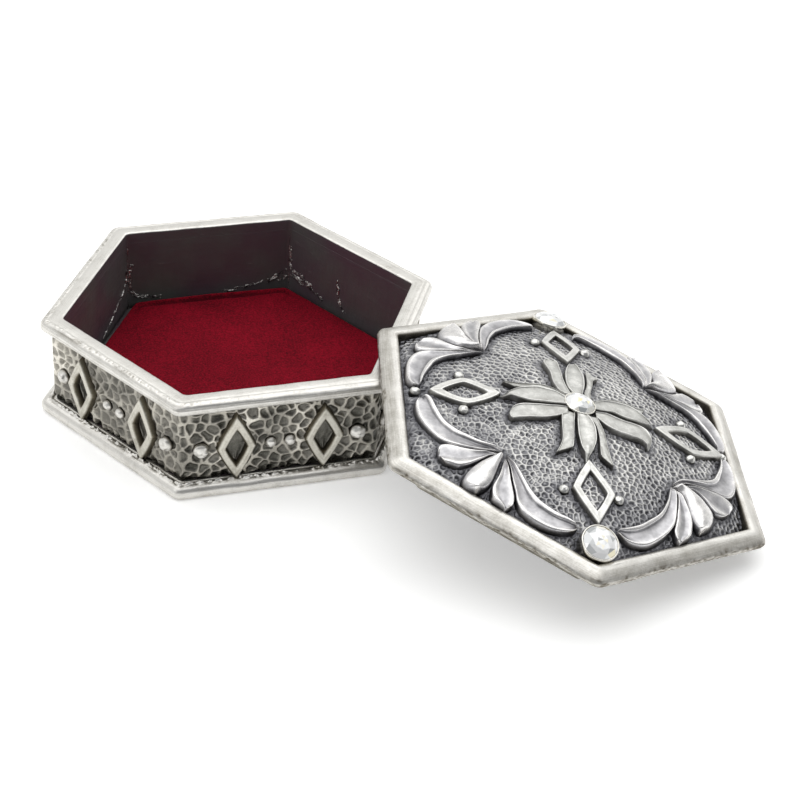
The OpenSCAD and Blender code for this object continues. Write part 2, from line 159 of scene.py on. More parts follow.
def six_sided(a, rounding, w, first_facing):
    """Points and outward directions on a rounded hexagon. a is the distance to a flat, w runs from 0 to 6"""
    a, rounding, w = np.broadcast_arrays(np.asarray(a, float), np.maximum(rounding, 0.03), w)
    side = np.minimum(np.floor(w), 5)
    t = 2 * (w - side) - 1
    flat = (a - rounding) * TAN30
    reach = np.abs(t) * (flat + rounding * math.pi / 6)
    bend = np.clip(reach - flat, 0, None) / rounding
    out = a - rounding + rounding * np.cos(bend)
    along = np.sign(t) * (np.minimum(reach, flat) + rounding * np.sin(bend))
    turn = np.radians(first_facing + 60 * side)
    c, s = np.cos(turn), np.sin(turn)
    tilt = np.sign(t) * bend
    nx, ny = np.cos(tilt), np.sin(tilt)
    return c * out - s * along, s * out + c * along, c * nx - s * ny, s * nx + c * ny


def flat_reach(x, y, first_facing):
    """How far points reach out towards a hexagon's flats"""
    facings = [math.radians(first_facing + 60 * k) for k in range(6)]
    return np.max([x * math.cos(f) + y * math.sin(f) for f in facings], 0)


def run_round(profile, steps):
    """A moulding's profile, as rows of (distance to the flat, height, corner rounding), carried round the six sides"""
    w = np.arange(6 * steps)[:, None] / steps
    return (w, *(np.broadcast_to(column, (len(w), len(profile))) for column in np.array(profile).T))


def swell(x, y, seed, wrap=256):
    """Smooth random numbers from -1 to 1, about one hump per unit of x and y; x comes round after wrap units"""
    table = np.random.default_rng(seed).uniform(-1, 1, (256, 256))
    x, y = np.broadcast_arrays(np.asarray(x, float), np.asarray(y, float))
    i, j = np.floor(x).astype(int), np.floor(y).astype(int)
    fx, fy = x - i, y - j
    fx, fy = fx * fx * (3 - 2 * fx), fy * fy * (3 - 2 * fy)
    i0, i1, j0, j1 = i % wrap % 256, (i + 1) % wrap % 256, j % 256, (j + 1) % 256
    low = table[i0, j0] * (1 - fx) + table[i1, j0] * fx
    high = table[i0, j1] * (1 - fx) + table[i1, j1] * fx
    return low * (1 - fy) + high * fy


def flowing(points, parts):
    """More points on a smooth curve through the given ones, keeping them all"""
    p = np.array(points, float)
    q = np.concatenate([2 * p[:1] - p[1:2], p, 2 * p[-1:] - p[-2:-1]])
    rows = []
    for k in range(len(p) - 1):
        a, b, c, d = q[k:k + 4]
        for t in np.arange(parts) / parts:
            rows.append(0.5 * (2 * b + (c - a) * t + (2 * a - 5 * b + 4 * c - d) * t ** 2
                               + (3 * b - a - 3 * c + d) * t ** 3))
    return np.array(rows + [p[-1]])


def loft(rows, joined=False, filled=False):
    """Points and faces of a skin over rings of points: rows[ring, point]. Its ends are closed, or joined to each other.
    Where rings are open strips that meet in the middle, filled closes that with a face above and one below"""
    n, m = rows.shape[:2]
    i, j = np.arange(n if joined else n - 1)[:, None], np.arange(m - 1 if filled else m)[None, :]
    after, beside = (i + 1) % n * m, (j + 1) % m
    faces = np.stack(np.broadcast_arrays(i * m + j, after + j, after + beside, i * m + beside), -1)
    faces = faces.reshape(-1, 4).tolist()
    if not joined:
        faces += [list(range(m))[::-1], list(range((n - 1) * m, n * m))]
    if filled:
        faces += [list(range(0, n * m, m)), list(range(m - 1, n * m, m))]
    return rows.reshape(-1, 3), faces


def piece(name, shells, body, materials, stands_for=(), pick=None, flat=False):
    """One mesh from closed shells of (points in mm, faces, fields). Fields are numbers at the points for the materials
    to read; pick chooses a material number from the middles of the faces"""
    points = np.concatenate([s[0] for s in shells])
    faces, start = [], 0
    for s in shells:
        faces += [[v + start for v in f] for f in s[1]] if start else list(s[1])
        start += len(s[0])
    mesh = bpy.data.meshes.new(name)
    mesh.from_pydata((points * 0.001).tolist(), [], faces)
    for field in shells[0][2]:
        values = np.concatenate([np.broadcast_to(np.ravel(s[2][field]), len(s[0])) for s in shells])
        mesh.attributes.new(field, "FLOAT", "POINT").data.foreach_set("value", values.astype(np.float32))
    for material in materials:
        mesh.materials.append(material)
    if pick:
        middles = np.array([points[f[:4]].mean(0) for f in faces])
        mesh.polygons.foreach_set("material_index", pick(middles).astype(np.int32))
    work = bmesh.new()
    work.from_mesh(mesh)
    bmesh.ops.recalc_face_normals(work, faces=work.faces)
    work.to_mesh(mesh)
    work.free()
    mesh.polygons.foreach_set("use_smooth", np.full(len(mesh.polygons), not flat))
    made = bpy.data.objects.new(name, mesh)
    scene.collection.objects.link(made)
    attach(made, body)
    if stands_for:
        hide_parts(*stands_for)
    return made


def pewter(name, tones, roughness, grain_mm, grain, drawn=0.0):
    """Cast pewter. tones run from the rubbed high places to the blackened hollows, as (place in the field 'hollow', hex);
    grain_mm is the casting's skin, drawn about five times as coarse as it is so that it shows, grain its depth in mm,
    and drawn the share of lines along the strip"""
    made, tree, shader = new_material(name)
    place = add(tree, "TexCoord").outputs["Object"]
    # Cloudy tarnish, 2.5 mm across
    cloud = add(tree, "TexNoise", {"Vector": place, "Scale": 1 / 0.0025, "Detail": 4.0, "Roughness": 0.6})
    skin = add(tree, "TexNoise", {"Vector": place, "Scale": 1000 / grain_mm, "Detail": 2.0, "Roughness": 0.55})
    layers = [(cloud, 0.3, 0.7, -0.09, 0.12), (skin, 0.25, 0.75, -0.07, 0.07)]
    height = skin
    if drawn:
        # Lines left by the scraper, some 6 mm long and drawn 0.12 mm apart so that they show
        strip = {axis: add(tree, "Math", {0: add(tree, "Attribute", attribute_name=field).outputs["Fac"], 1: 1 / size},
                           operation="MULTIPLY") for axis, field, size in (("X", "along", 6), ("Y", "across", 0.12))}
        lines = add(tree, "TexNoise", {"Vector": add(tree, "CombineXYZ", strip), "Scale": 1.0, "Detail": 2.0})
        layers.append((lines, 0.25, 0.75, -drawn, drawn))
        height = add(tree, "Math", {0: lines, 1: skin}, operation="ADD")
    # Besides the blackened hollows, the field 'hollow' carries painted shade and painted highlights that some pieces
    # put in it
    depth = add(tree, "Attribute", attribute_name="hollow").outputs["Fac"]
    for noise, low, high, least, most in layers:
        part = add(tree, "MapRange", {"Value": noise, "From Min": low, "From Max": high, "To Min": least, "To Max": most})
        depth = add(tree, "Math", {0: depth, 1: part}, operation="ADD", use_clamp=True)
    feed(tree, shader, {
        "Base Color": add(tree, "ValToRGB", {0: depth}, tones),
        "Roughness": add(tree, "MapRange", {"Value": depth, "To Min": roughness[0], "To Max": roughness[1]}),
        "Normal": add(tree, "Bump", {"Height": height, "Strength": 1.0, "Distance": grain / 1000}),
        "Metallic": 1.0})
    return made


# Satin pewter as it leaves the scraper: a soft warm off-white shine, with fine lines along the strip
satin_pewter = pewter("satin_scraped_pewter", [(0.0, "#e2e0db"), (0.3, "#b9b6af"), (0.65, "#7a7469"), (1.0, "#2a2925")],
                      (0.36, 0.62), 0.25, 0.012, drawn=0.10)

# Blackened pewter under a clear lacquer, inside the box: a dark aubergine gloss with rubbed scuffs
lacquered_pewter, tree, shader = new_material("blackened_lacquered_pewter")
place = add(tree, "TexCoord").outputs["Object"]
cloud = add(tree, "TexNoise", {"Vector": place, "Scale": 1 / 0.009, "Detail": 3.0})
tint = add(tree, "ValToRGB", {0: cloud}, [(0.35, "#5a4b53"), (0.68, "#5c5e5b")])
stretched = add(tree, "Mapping", {"Vector": place, "Scale": (1.0, 1.0, 5.0)})
scuff = add(tree, "TexNoise", {"Vector": stretched, "Scale": 1 / 0.0035, "Detail": 5.0, "Roughness": 0.65})
wear_and_side_light = add(tree, "MapRange", {"Value": scuff, "From Min": 0.63, "From Max": 0.76, "To Max": 0.35})
colour = add(tree, "Mix", {0: wear_and_side_light, 6: tint, 7: linear("#8d8a86")}, data_type="RGBA")
feed(tree, shader, {
    "Base Color": colour.outputs[2],
    "Roughness": add(tree, "MapRange", {"Value": scuff, "From Min": 0.3, "From Max": 0.7, "To Min": 0.28, "To Max": 0.5}),
    "Normal": add(tree, "Bump", {"Height": scuff, "Strength": 1.0, "Distance": 0.00005})})

outline = flowing([(26.6, 0, 1.2), (26.92, 0.04, 1.35), (27.25, 0.36, 1.69), (27.366, 0.84, 1.8), (27.29, 1.43, 1.73),
                   (26.95, 1.88, 1.4), (26.55, 2.08, 1.0)], 3)
ledge = np.array([(a, base_h, 0.9) for a in np.arange(26.45, 25.1, -0.11)])
inside = [(a, base_h, 0.9) for a in (24.6, 24.0, 23.6, 23.2, 22.8, 22.4, 21.0)] + [(10, base_h, 0.5), (0.1, base_h, 0.05)]
under = [(0.1, 0, 0.05), (10, 0, 0.5), (20, 0, 1.0), (25.5, 0, 1.1)]
w, a, z, r = run_round(np.concatenate([under, outline, ledge, inside]), 230)
crumbs = np.maximum(swell(w * 60, a * 2.2, 11, 360) + 0.6 * swell(w * 140, a * 4.5, 12, 840), -0.3)
bead = np.exp(-((a - 26.08) / 0.28) ** 2) * (z > 2)
groove = np.exp(-((a - 25.62 - 0.08 * swell(w * 24, 0, 13, 144)) / 0.12) ** 2) * (z > 2)
dent = 0.07 * swell(w * 9, z * 0.8, 14, 54) * (a > 26.3)
height = z + bead * (0.14 + 0.34 * crumbs) - 0.22 * groove
x, y, _, _ = six_sided(a + dent, r, w, 90)
rows = np.stack([x, y, height], -1)
hollow = np.clip(0.03 + 0.6 * groove - 0.1 * bead * (crumbs > 0.1) + 0.28 * np.clip(0.9 - z, 0, 1) * (a > 26)
                 + 0.3 * np.exp(-((a - 26.42) / 0.1) ** 2) * (swell(w * 40, 3, 15, 240) > 0.2) * (z > 2), 0, 1)
points, faces = loft(rows, joined=True, filled=True)
across = np.arange(a.shape[1]) * 0.16 + 0 * w
piece("foot_plate", [(points, faces, {"hollow": hollow, "along": w * 29.5 + 0 * a, "across": across})],
      "box", [satin_pewter, lacquered_pewter], ["base_plate"],
      lambda mid: ((np.hypot(mid[:, 0], mid[:, 1]) < 27.8) & (mid[:, 2] > 1.9)
                   & (flat_reach(mid[:, 0], mid[:, 1], 30) < 25.0)))

# ---- Walls ----
# Six panels of cast pewter with a hammered pattern of crooked shallow dishes, blackened and rubbed bright
# on the ridges; soldered at the corners. Inside they are smooth, blackened and lacquered.

loz_z, loz_half_h, loz_half_w, loz_bar, loz_out = 8.1, 5.4, 2.85, 1.15, 6.59
bead_out, corner_bead_out = 1.45, 11.73
# A side holds 18 hammered dishes
half_side, dishes = 14.73, 18
dish = 2 * half_side / dishes


def cells(x, y, seed, jitter, wrap=4096):
    """Crooked cells, one per unit: distance to the nearest wall between cells, distance to the cell's middle, and a
    number from 0 to 1 for each cell; x comes round after wrap units"""
    table = np.random.default_rng(seed).uniform(0, 1, (512, 256, 3))
    x, y = x.ravel(), y.ravel()
    i, j = np.floor(x).astype(int), np.floor(y).astype(int)
    found = []
    for di in range(-2, 3):
        for dj in range(-2, 3):
            own = table[(i + di) % wrap % 512, (j + dj) % 256]
            cx = i + di + 0.5 + jitter * (own[:, 0] - 0.5) + 0.5 * ((j + dj) % 2) - 0.25 - x
            cy = j + dj + 0.5 + jitter * (own[:, 1] - 0.5) - y
            found.append(np.stack([cx, cy, own[:, 2]]))
    found = np.stack(found)
    gap = np.hypot(found[:, 0], found[:, 1])
    first = gap.argmin(0)
    mine = found[first, :, np.arange(len(x))].T
    apart = np.hypot(found[:, 0] - mine[0], found[:, 1] - mine[1])
    wall = np.where(apart > 1e-6, (gap ** 2 - gap.min(0) ** 2) / np.maximum(2 * apart, 1e-6), 1e9).min(0)
    return wall, gap.min(0), mine[2]


def lozenge_edge(u, v, half_w, half_h):
    """Distance in mm outside the edge of a lozenge, negative inside"""
    return (np.abs(u) / half_w + np.abs(v) / half_h - 1) * half_w * half_h / math.hypot(half_w, half_h)


# Hammered pewter: bright crooked ridges round dull grey-olive dishes, nearly black at the foot
hammered_pewter = pewter("hammered_blackened_pewter",
                         [(0.0, "#dedad0"), (0.2, "#b3afa5"), (0.5, "#84817a"), (0.8, "#5c5b55"), (1.0, "#2b2924")],
                         (0.33, 0.52), 0.2, 0.015)
steps_along, steps_up, steps_inside = 250, 104, 16
# In the photograph the lozenges stand a little lower than halfway up, and those at the front left further left
loz_at = {name: (-7.2, 6.5) if name == "front_left" else (-loz_out, loz_out) for name in BOX_SIDES}
loz_low = loz_z - 0.55
for number, side_name in enumerate(BOX_SIDES):
    t = np.linspace(0, 1, steps_along + 1)[:, None]
    up = np.linspace(0, wall_h, steps_up)[None, :]
    x_run = (number + t) * dishes
    warp_x = x_run + 0.2 * swell(x_run * 1.5, up / 1.2, 21, 162) + 0 * up
    warp_y = up / dish + 0.2 * swell(x_run * 1.5, up / 1.2, 22, 162)
    wall, centre, own = (v.reshape(warp_x.shape) for v in cells(warp_x, warp_y, 23, 0.8, 108))
    # The corners of the cells are filled up, which makes the dishes round
    wall = (wall - 0.55 * np.clip(centre - 0.40, 0, 1)) * dish + 0.03
    u = (2 * t - 1) * half_side
    v = up + base_h - loz_low
    edge = np.minimum.reduce([lozenge_edge(u - at, v, loz_half_w, loz_half_h) for at in loz_at[side_name]])
    blob = np.minimum.reduce([np.hypot(u - s * out, v) - clear for s in (-1, 1)
                              for out, clear in ((bead_out, 0.75), (corner_bead_out, 0.95))])
    sunk = 1 - np.exp(-(np.maximum(wall - 0.02, 0) / (0.17 + 0.16 * own)) ** 2)
    open_part = np.clip(np.minimum(edge, blob) / 0.5, 0, 1)
    inner = np.clip(-(edge + 1.0) / 0.35, 0, 1)
    foot = np.clip((0.85 + 0.5 * swell(x_run * 1.5, 0, 25, 162) - up) / 0.45, 0, 1)
    brow = np.clip((up - wall_h + 0.6 + 0.4 * swell(x_run, 0, 26, 108)) / 0.5, 0, 1)
    rough = swell(x_run * 5, up * 2.5, 27)
    depth = (0.04 + sunk * (0.15 + 0.13 * own) + 0.16 * np.clip(wall / 0.75, 0, 1) ** 2) * open_part
    depth = depth + (1 - open_part) * 0.12
    depth = depth + inner * (0.28 + 0.05 * swell(x_run * 4, up * 1.4, 28)) + foot * (0.34 + 0.12 * rough) + 0.1 * brow
    drip = np.maximum.reduce([np.exp(-((u - at) / 0.22) ** 2 - ((v + 2.1) / 0.5) ** 2) for at in loz_at[side_name]])
    depth = depth - 0.3 * drip + 0.03 * swell(x_run / 2, up / 4, 29) + 0.012 * rough
    blotch = np.clip(0.5 + 0.8 * swell(x_run / 2.6, up / 3.2, 30), 0, 1)
    # Painted light: the front left wall's dishes are painted paler than the other walls', for how the light falls on
    # that side
    wear_and_side_light = 0.62 if side_name == "front_left" else 1.0
    shade = 0.05 + 0.34 * blotch + wear_and_side_light * sunk * (0.44 - 0.12 * blotch + 0.2 * own)
    # Round the lozenges and beads the wall is darkened: partly black left in the crevice, partly painted shade where
    # they meet the wall
    shade = np.maximum(shade, (1 - np.clip(np.minimum(edge, blob) / 0.45, 0, 1)) * 0.55)
    shade = np.maximum(shade, inner * 0.74 - 0.5 * drip)
    shade = np.clip(np.maximum(shade, foot * 0.98 + 0.2 * rough * (foot > 0.1)), 0, 1)
    shade = np.clip(np.maximum(shade, 0.7 * brow), 0, 1)
    run = number + np.clip(t, 0, 1 - 1e-9)
    x, y, nx, ny = six_sided(wall_a + 0 * up, 1.0, run, 90)
    outside = np.stack([x - nx * depth, y - ny * depth, base_h + up + 0 * x], -1)
    inner_up = np.concatenate([[wall_h, wall_h - 0.04], np.linspace(wall_h - 0.3, 0, steps_inside - 2)])[None, :]
    wave = 0.05 * swell(x_run * 0.5, inner_up / 3, 31) + 0.03 * swell(x_run * 3, inner_up * 1.5, 32)
    wave = wave * np.clip((wall_h - inner_up) / 3, 0, 1)
    x, y, nx, ny = six_sided(mouth_a + 0 * inner_up, 0.9, run, 90)
    within = np.stack([x + nx * wave, y + ny * wave, base_h + inner_up + 0 * x], -1)
    points, faces = loft(np.concatenate([outside, within], 1))
    shade = np.concatenate([shade, np.full((len(t), steps_inside), 0.7)], 1)
    piece("hammered_wall_" + side_name, [(points, faces, {"hollow": shade})], "box", [hammered_pewter, lacquered_pewter],
          ["wall_" + side_name], lambda mid: flat_reach(mid[:, 0], mid[:, 1], 30) < 24.4)

# ---- Solder inside ----
# Thin broken lines of solder down the inner corners and along the floor: bright where they were scratched.

solder, tree, shader = new_material("scratched_tin_solder")
place = add(tree, "TexCoord").outputs["Object"]
flecks = add(tree, "TexNoise", {"Vector": place, "Scale": 1 / 0.0011, "Detail": 3.0})
tone = add(tree, "ValToRGB", {0: flecks}, [(0.40, "#4a4244"), (0.56, "#dcdad6")])
feed(tree, shader, {"Base Color": tone, "Metallic": 1.0, "Roughness": 0.34})
# Where the scratches run: the wall's direction, and points as (along the wall, height)
SCRATCHES = ((90, [(-13.5, 6.8), (-11.7, 5.9), (-10.3, 5.1), (-7.4, 4.5), (-4.5, 4.0), (-2.1, 3.7)]),
             (90, [(13.0, 10.7), (13.3, 8.1), (13.0, 5.5), (12.4, 4.5), (10.2, 4.1), (8.3, 3.9)]),
             (150, [(-13.3, 9.7), (-12.9, 7.5), (-11.0, 6.2), (-8.0, 5.1), (-5.4, 4.2), (-2.3, 3.3)]),
             (30, [(13.5, 11.1), (13.3, 9.1), (13.3, 6.8), (11.7, 6.0), (9.2, 5.5), (6.5, 4.7), (5.8, 4.2)]),
             (30, [(2.4, 9.4), (2.0, 7.2), (1.4, 5.2), (0.4, 4.2)]),
             (30, [(13.4, 7.4), (12.2, 6.9), (10.8, 6.8), (9.4, 6.0), (8.2, 5.9)]),
             (30, [(13.3, 5.6), (12.3, 5.9), (11.2, 5.2), (10.2, 5.3)]),
             (90, [(-13.4, 5.4), (-12.4, 5.0), (-11.2, 5.4), (-10.2, 4.6)]),
             (210, [(-12.0, 9.0), (-12.8, 6.0), (-10.4, 4.6), (-6.0, 4.2)]),
             (270, [(13.2, 8.0), (12.2, 5.6), (8.4, 4.7), (3.0, 4.3)]),
             (330, [(-13.0, 9.5), (-12.4, 6.4), (-9.0, 4.8), (-4.0, 4.4)]))


def turned(points, degrees):
    """Turned about the upright"""
    c, s = math.cos(math.radians(degrees)), math.sin(math.radians(degrees))
    x, y = points[..., 0], points[..., 1]
    return np.stack([c * x - s * y, s * x + c * y, points[..., 2]], -1)


rise = np.linspace(0, 1, 110) * 12.0
corner_reach = (mouth_a - 0.9) / math.cos(math.radians(30)) + 0.9 - 0.02
corner_line = np.stack([corner_reach + 0 * rise, 0 * rise, base_h + rise], 1)
seams = [(turned(corner_line, 60 * k), 40 + k) for k in range(6)]
for number, (facing, scratch) in enumerate(SCRATCHES):
    for strand in range(3):
        line = flowing(scratch, 40)
        s = np.arange(len(line)) * 0.13
        line = line + 0.3 * np.stack([swell(s * 1.3, strand, 45 + number), swell(s * 1.3, strand + 9, 55 + number)], 1)
        line = np.clip(line, (-13.7, 2.6), (13.7, 14.2))
        on_side = np.column_stack([np.full(len(line), mouth_a - 0.03), line])
        seams.append((turned(on_side, facing), 60 + 3 * number + strand))
shells = []
for line, seed in seams:
    s = np.arange(len(line)) * 0.11
    fat = np.clip(0.03 + 0.13 * swell(s * 1.1, 0, seed) + 0.07 * swell(s * 5, 1, seed), 0.006, 0.2)[:, None, None]
    heading = np.gradient(line, axis=0)
    heading /= np.linalg.norm(heading, axis=1, keepdims=True)
    first = np.cross(heading, [0.9, 0.4, 0.17])
    first /= np.linalg.norm(first, axis=1, keepdims=True)
    second = np.cross(heading, first)
    turn = (np.arange(8) * math.pi / 4)[None, :, None]
    rows = line[:, None] + fat * (np.cos(turn) * first[:, None] + np.sin(turn) * second[:, None])
    shells.append((*loft(rows), {"hollow": 0.0}))
piece("inner_solder", shells, "box", [solder])

# ---- Mouth rim ----
# A cast moulding soldered on top of the walls: a flat matt top, a crackled bright arris like a worn bead
# line, and a rounded face with fine lines scraped along it.

rim_z = base_h + wall_h
face = flowing([(25.2, 0, 0.95), (26.2, 0.0, 1.1), (26.541, 0.03, 1.33), (26.858, 0.27, 1.64), (27.0, 0.76, 1.8),
                (26.858, 1.3, 1.64), (26.6, 1.62, 1.4), (26.30, 1.76, 1.1)], 4)
top = flowing([(26.2, 1.82, 1.0), (25.95, 1.84, 0.75), (25.75, 1.80, 0.9), (25.3, 1.86, 0.95), (24.7, 1.87, 1.0),
               (24.2, 1.84, 1.2), (23.95, 1.76, 1.05), (23.84, 1.6, 0.92), (mouth_a, 1.2, 0.9), (mouth_a, 0.5, 0.9),
               (mouth_a, 0.06, 0.9), (mouth_a, 0.02, 0.9)], 4)
w, a, z, r = run_round(np.concatenate([face, top]), 240)
order = np.arange(a.shape[1]) * 0.13 + 0 * w
crackle = swell(w * 105, order * 1.3, 61, 630) + 0.6 * swell(w * 60, order * 3, 62, 360)
crackle = crackle * (0.25 + 0.75 * np.clip(0.4 + 1.2 * swell(w * 1.5, 0, 68, 9), 0, 1))
arris = np.exp(-((a - 26.22) / 0.40) ** 4) * (z > 1.2)
nick = np.exp(-((a - 26.62) / 0.16) ** 2) * (z > 1.0) * np.clip(swell(w * 5, 7, 63, 30) - 0.35, 0, 1) * 2.2
long_line = np.exp(-((z - 0.72) / 0.10) ** 2) * (a > 26.4)
second_line = (np.exp(-((z - 1.16) / 0.07) ** 2) + np.exp(-((z - 0.36) / 0.06) ** 2)) * (a > 26.4)
push = 0.05 * swell(w * 7, z * 0.9, 64, 42) * (a > 26.3) - 0.04 * long_line - 0.04 * second_line - 0.15 * nick
waver = 0.035 * swell(w * 8, a / 2, 65, 48) + 0.012 * swell(w * 40, a * 2, 66, 240)
x, y, _, _ = six_sided(a + push, r, w, 90)
rows = np.stack([x, y, rim_z + z + (waver + 0.042 * arris * crackle) * (z > 1.4)], -1)
hollow = np.clip(0.01 - 0.1 * arris * (crackle > 0) + 0.4 * arris * np.clip(-crackle - 0.1, 0, 1) + 0.24 * long_line
                 + 0.2 * second_line + 0.5 * nick + 0.5 * np.clip(0.28 - z, 0, 0.3) / 0.3 * (a > 25)
                 + 0.05 * swell(w * 5, a * 0.6, 67, 30), 0, 1)
points, faces = loft(rows, joined=True)
piece("mouth_rim", [(points, faces, {"hollow": hollow, "along": w * 29.5 + 0 * a, "across": order})],
      "box", [satin_pewter, lacquered_pewter], ["top_rim"],
      lambda mid: (mid[:, 2] < rim_z + 1.66) & (flat_reach(mid[:, 0], mid[:, 1], 30) < 24.1))

# ---- Side lozenges ----
# Two lozenge frames on each wall, cast with it: flat rubbed tops, steep sides left brown and dull.

# Rubbed pewter: a plain grey satin on top that turns brassy brown down the sides
rubbed_pewter = pewter("rubbed_cast_pewter",
                       [(0.0, "#cbc8be"), (0.2, "#a9a599"), (0.45, "#7d7666"), (0.85, "#5f594c"), (1.0, "#3f3b33")],
                       (0.36, 0.55), 0.3, 0.008)


def lozenge(half_w, half_h, bar, rise, bulge, seed, round_over=0.0):
    """Rings round a lozenge frame that lies flat, and how hollow each point is. round_over goes from edges as cast, 0,
    to worn ones, 1"""
    slant = math.hypot(half_w, half_h)
    turn = np.arange(120) / 120 * 2 * math.pi
    cx, cy = np.cos(turn), np.sin(turn)
    # From the outer edge to the middle of the bar: inset in mm, height as a share of rise, hollow
    as_cast = np.array([(-0.14, -0.45, 1.0), (-0.10, 0.0, 0.8), (-0.04, 0.5, 0.6), (0.01, 0.82, 0.45), (0.05, 0.94, 0.2),
                        (0.10, 0.99, 0.02), (0.17, 1.0, 0.0), (0.3, 0.99, 0.06)])
    wear_and_side_light = np.array([(-0.20, -0.45, 0.9), (-0.16, 0.0, 0.7), (-0.09, 0.34, 0.55), (0.0, 0.62, 0.42), (0.08, 0.80, 0.28),
                     (0.18, 0.92, 0.12), (0.29, 0.98, 0.03), (0.4, 1.0, 0.0)])
    half = (1 - round_over) * as_cast + round_over * wear_and_side_light
    section = [*half, (bar / 2, 0.98, 0.08)] + [(bar - inset, height, dark) for inset, height, dark in half[::-1]]
    rows, shade = [], []
    for inset, height, dark in section:
        wide, high = half_w - inset * slant / half_h, half_h - inset * slant / half_w
        wobble = 1 + 0.02 * swell(turn * 1.3, inset, seed) + 0.03 * round_over * swell(turn * 0.8, 4, seed + 2)
        uneven = rise * height * (1 + 0.03 * swell(turn * 2, 0, seed)) if height > 0 else height + 0 * turn
        rows.append(np.stack([np.sign(cx) * np.abs(cx) ** (2 / bulge) * wide * wobble,
                              np.sign(cy) * np.abs(cy) ** (2 / bulge) * high * wobble, uneven], 1))
        shade.append(dark + 0.08 * swell(turn * 2.5, inset * 2, seed + 1))
    return np.stack(rows, 1), np.clip(np.stack(shade, 1), 0, 1)


def on_wall(points, facing):
    """A flat drawing laid on a wall: x along it, y up, z outwards"""
    return turned(np.stack([wall_a + points[..., 2], points[..., 0], loz_low + points[..., 1]], -1), facing)


for number, (side_name, facing) in enumerate(BOX_SIDES.items()):
    shells = []
    for side, at in enumerate(loz_at[side_name]):
        rows, shade = lozenge(loz_half_w, loz_half_h + 0.1, loz_bar - 0.02, 0.78, 1.12, 70 + 4 * number + side, 0.8)
        shells.append((*loft(on_wall(rows + np.array([at, 0, 0]), facing), joined=True), {"hollow": shade}))
    piece("side_lozenges_" + side_name, shells, "box", [rubbed_pewter], ["lozenges_" + side_name])

# ---- Side beads ----
# Beads cast on the walls: two neat ones between the lozenges, and a lumpy one near each corner that the
# polishing wheel caught, so it is bright all over.


def bead_shell(radius, lump, seed):
    """A round bead on a flat ground, with its skirt in the ground"""
    levels = np.linspace(0.02, 1, 12)[:, None] * math.pi / 2
    turn = np.arange(28)[None, :] / 28 * 2 * math.pi
    lumps = swell(turn * 28 / 2 / math.pi / 5 + 3, levels * 2.2, seed) * np.sin(2 * levels).clip(0.3, 1)
    size = radius * (1 + lump * lumps)
    out = size * np.sin(levels)
    rows = np.stack([out * np.cos(turn), out * np.sin(turn), size * np.cos(levels)], -1)
    skirt = rows[-1:] * np.array([1.08, 1.08, 0]) + np.array([0, 0, -0.45])
    shade = np.concatenate([0.02 + 0.95 * (levels / (math.pi / 2)) ** 6 + 0 * turn, np.ones((1, 28))])
    return np.concatenate([rows, skirt]), shade


for number, (side_name, facing) in enumerate(BOX_SIDES.items()):
    shells = []
    for side in (-1, 1):
        for out, radius, lump in ((bead_out, 0.86, 0.10), (corner_bead_out, 1.2, 0.18)):
            rows, shade = bead_shell(radius, lump, 90 + 7 * number + side + int(out))
            rows = rows * np.array([1.0, 1.0, 0.85]) + np.array([side * out, 0, 0])
            shells.append((*loft(on_wall(rows, facing)), {"hollow": shade}))
    piece("side_beads_" + side_name, shells, "box", [satin_pewter], ["beads_" + side_name])

# ---- Velvet pad ----
# A card cut to the box, covered in crimson cotton velvet over thin wadding. The cut edge of the velvet
# curls, the pad is a little crowned, and at the back it stands away from the wall.

# Grey board: a dull fibrous edge
card, tree, shader = new_material("grey_pasteboard")
place = add(tree, "TexCoord").outputs["Object"]
fibre = add(tree, "TexNoise", {"Vector": place, "Scale": 1 / 0.0006, "Detail": 4.0})
feed(tree, shader, {"Base Color": add(tree, "ValToRGB", {0: fibre}, [(0.0, "#5d564d"), (1.0, "#8b8378")]),
                    "Normal": add(tree, "Bump", {"Height": fibre, "Strength": 1.0, "Distance": 0.00003}),
                    "Roughness": 0.85})


def dress(node_name, material):
    """Gives a piece that stays as it was built its material"""
    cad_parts[node_name].data.materials.clear()
    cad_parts[node_name].data.materials.append(material)


dress("pad_card", card)

# Cotton velvet: a deep red pile with soft brushed patches and a light sheen at grazing angles. Its tufts are 0.15 mm
# apart, drawn 0.28 mm apart so that they show
velvet, tree, shader = new_material("cotton_velvet")
place = add(tree, "TexCoord").outputs["Object"]
patch = add(tree, "TexNoise", {"Vector": place, "Scale": 1 / 0.007, "Detail": 3.0, "Roughness": 0.55})
tuft = add(tree, "TexNoise", {"Vector": place, "Scale": 1 / 0.00028, "Detail": 2.0, "Roughness": 0.7})
pile = add(tree, "Math", {0: patch, 1: 0.3, 2: tuft}, operation="MULTIPLY_ADD")
pile = add(tree, "MapRange", {"Value": pile, "From Min": 0.46, "From Max": 0.84})
# The field 'hollow' darkens or lightens the pile: painted shade in the crease before the folded back edge, a painted
# highlight along the fold's top, and darker down the pad's sides
fold_shading = add(tree, "Attribute", attribute_name="hollow").outputs["Fac"]
pile = add(tree, "Math", {0: fold_shading, 1: -0.55, 2: pile}, operation="MULTIPLY_ADD", use_clamp=True)
red = add(tree, "ValToRGB", {0: pile}, [(0.0, "#470410"), (0.3, "#660616"), (1.0, "#8f0b22")])
feed(tree, shader, {"Base Color": red,
                    "Normal": add(tree, "Bump", {"Height": tuft, "Strength": 1.0, "Distance": 0.00012}),
                    "Roughness": 0.9, "Specular IOR Level": 0.1, "Sheen Weight": 0.35, "Sheen Roughness": 0.45,
                    "Sheen Tint": linear("#c2263e")})

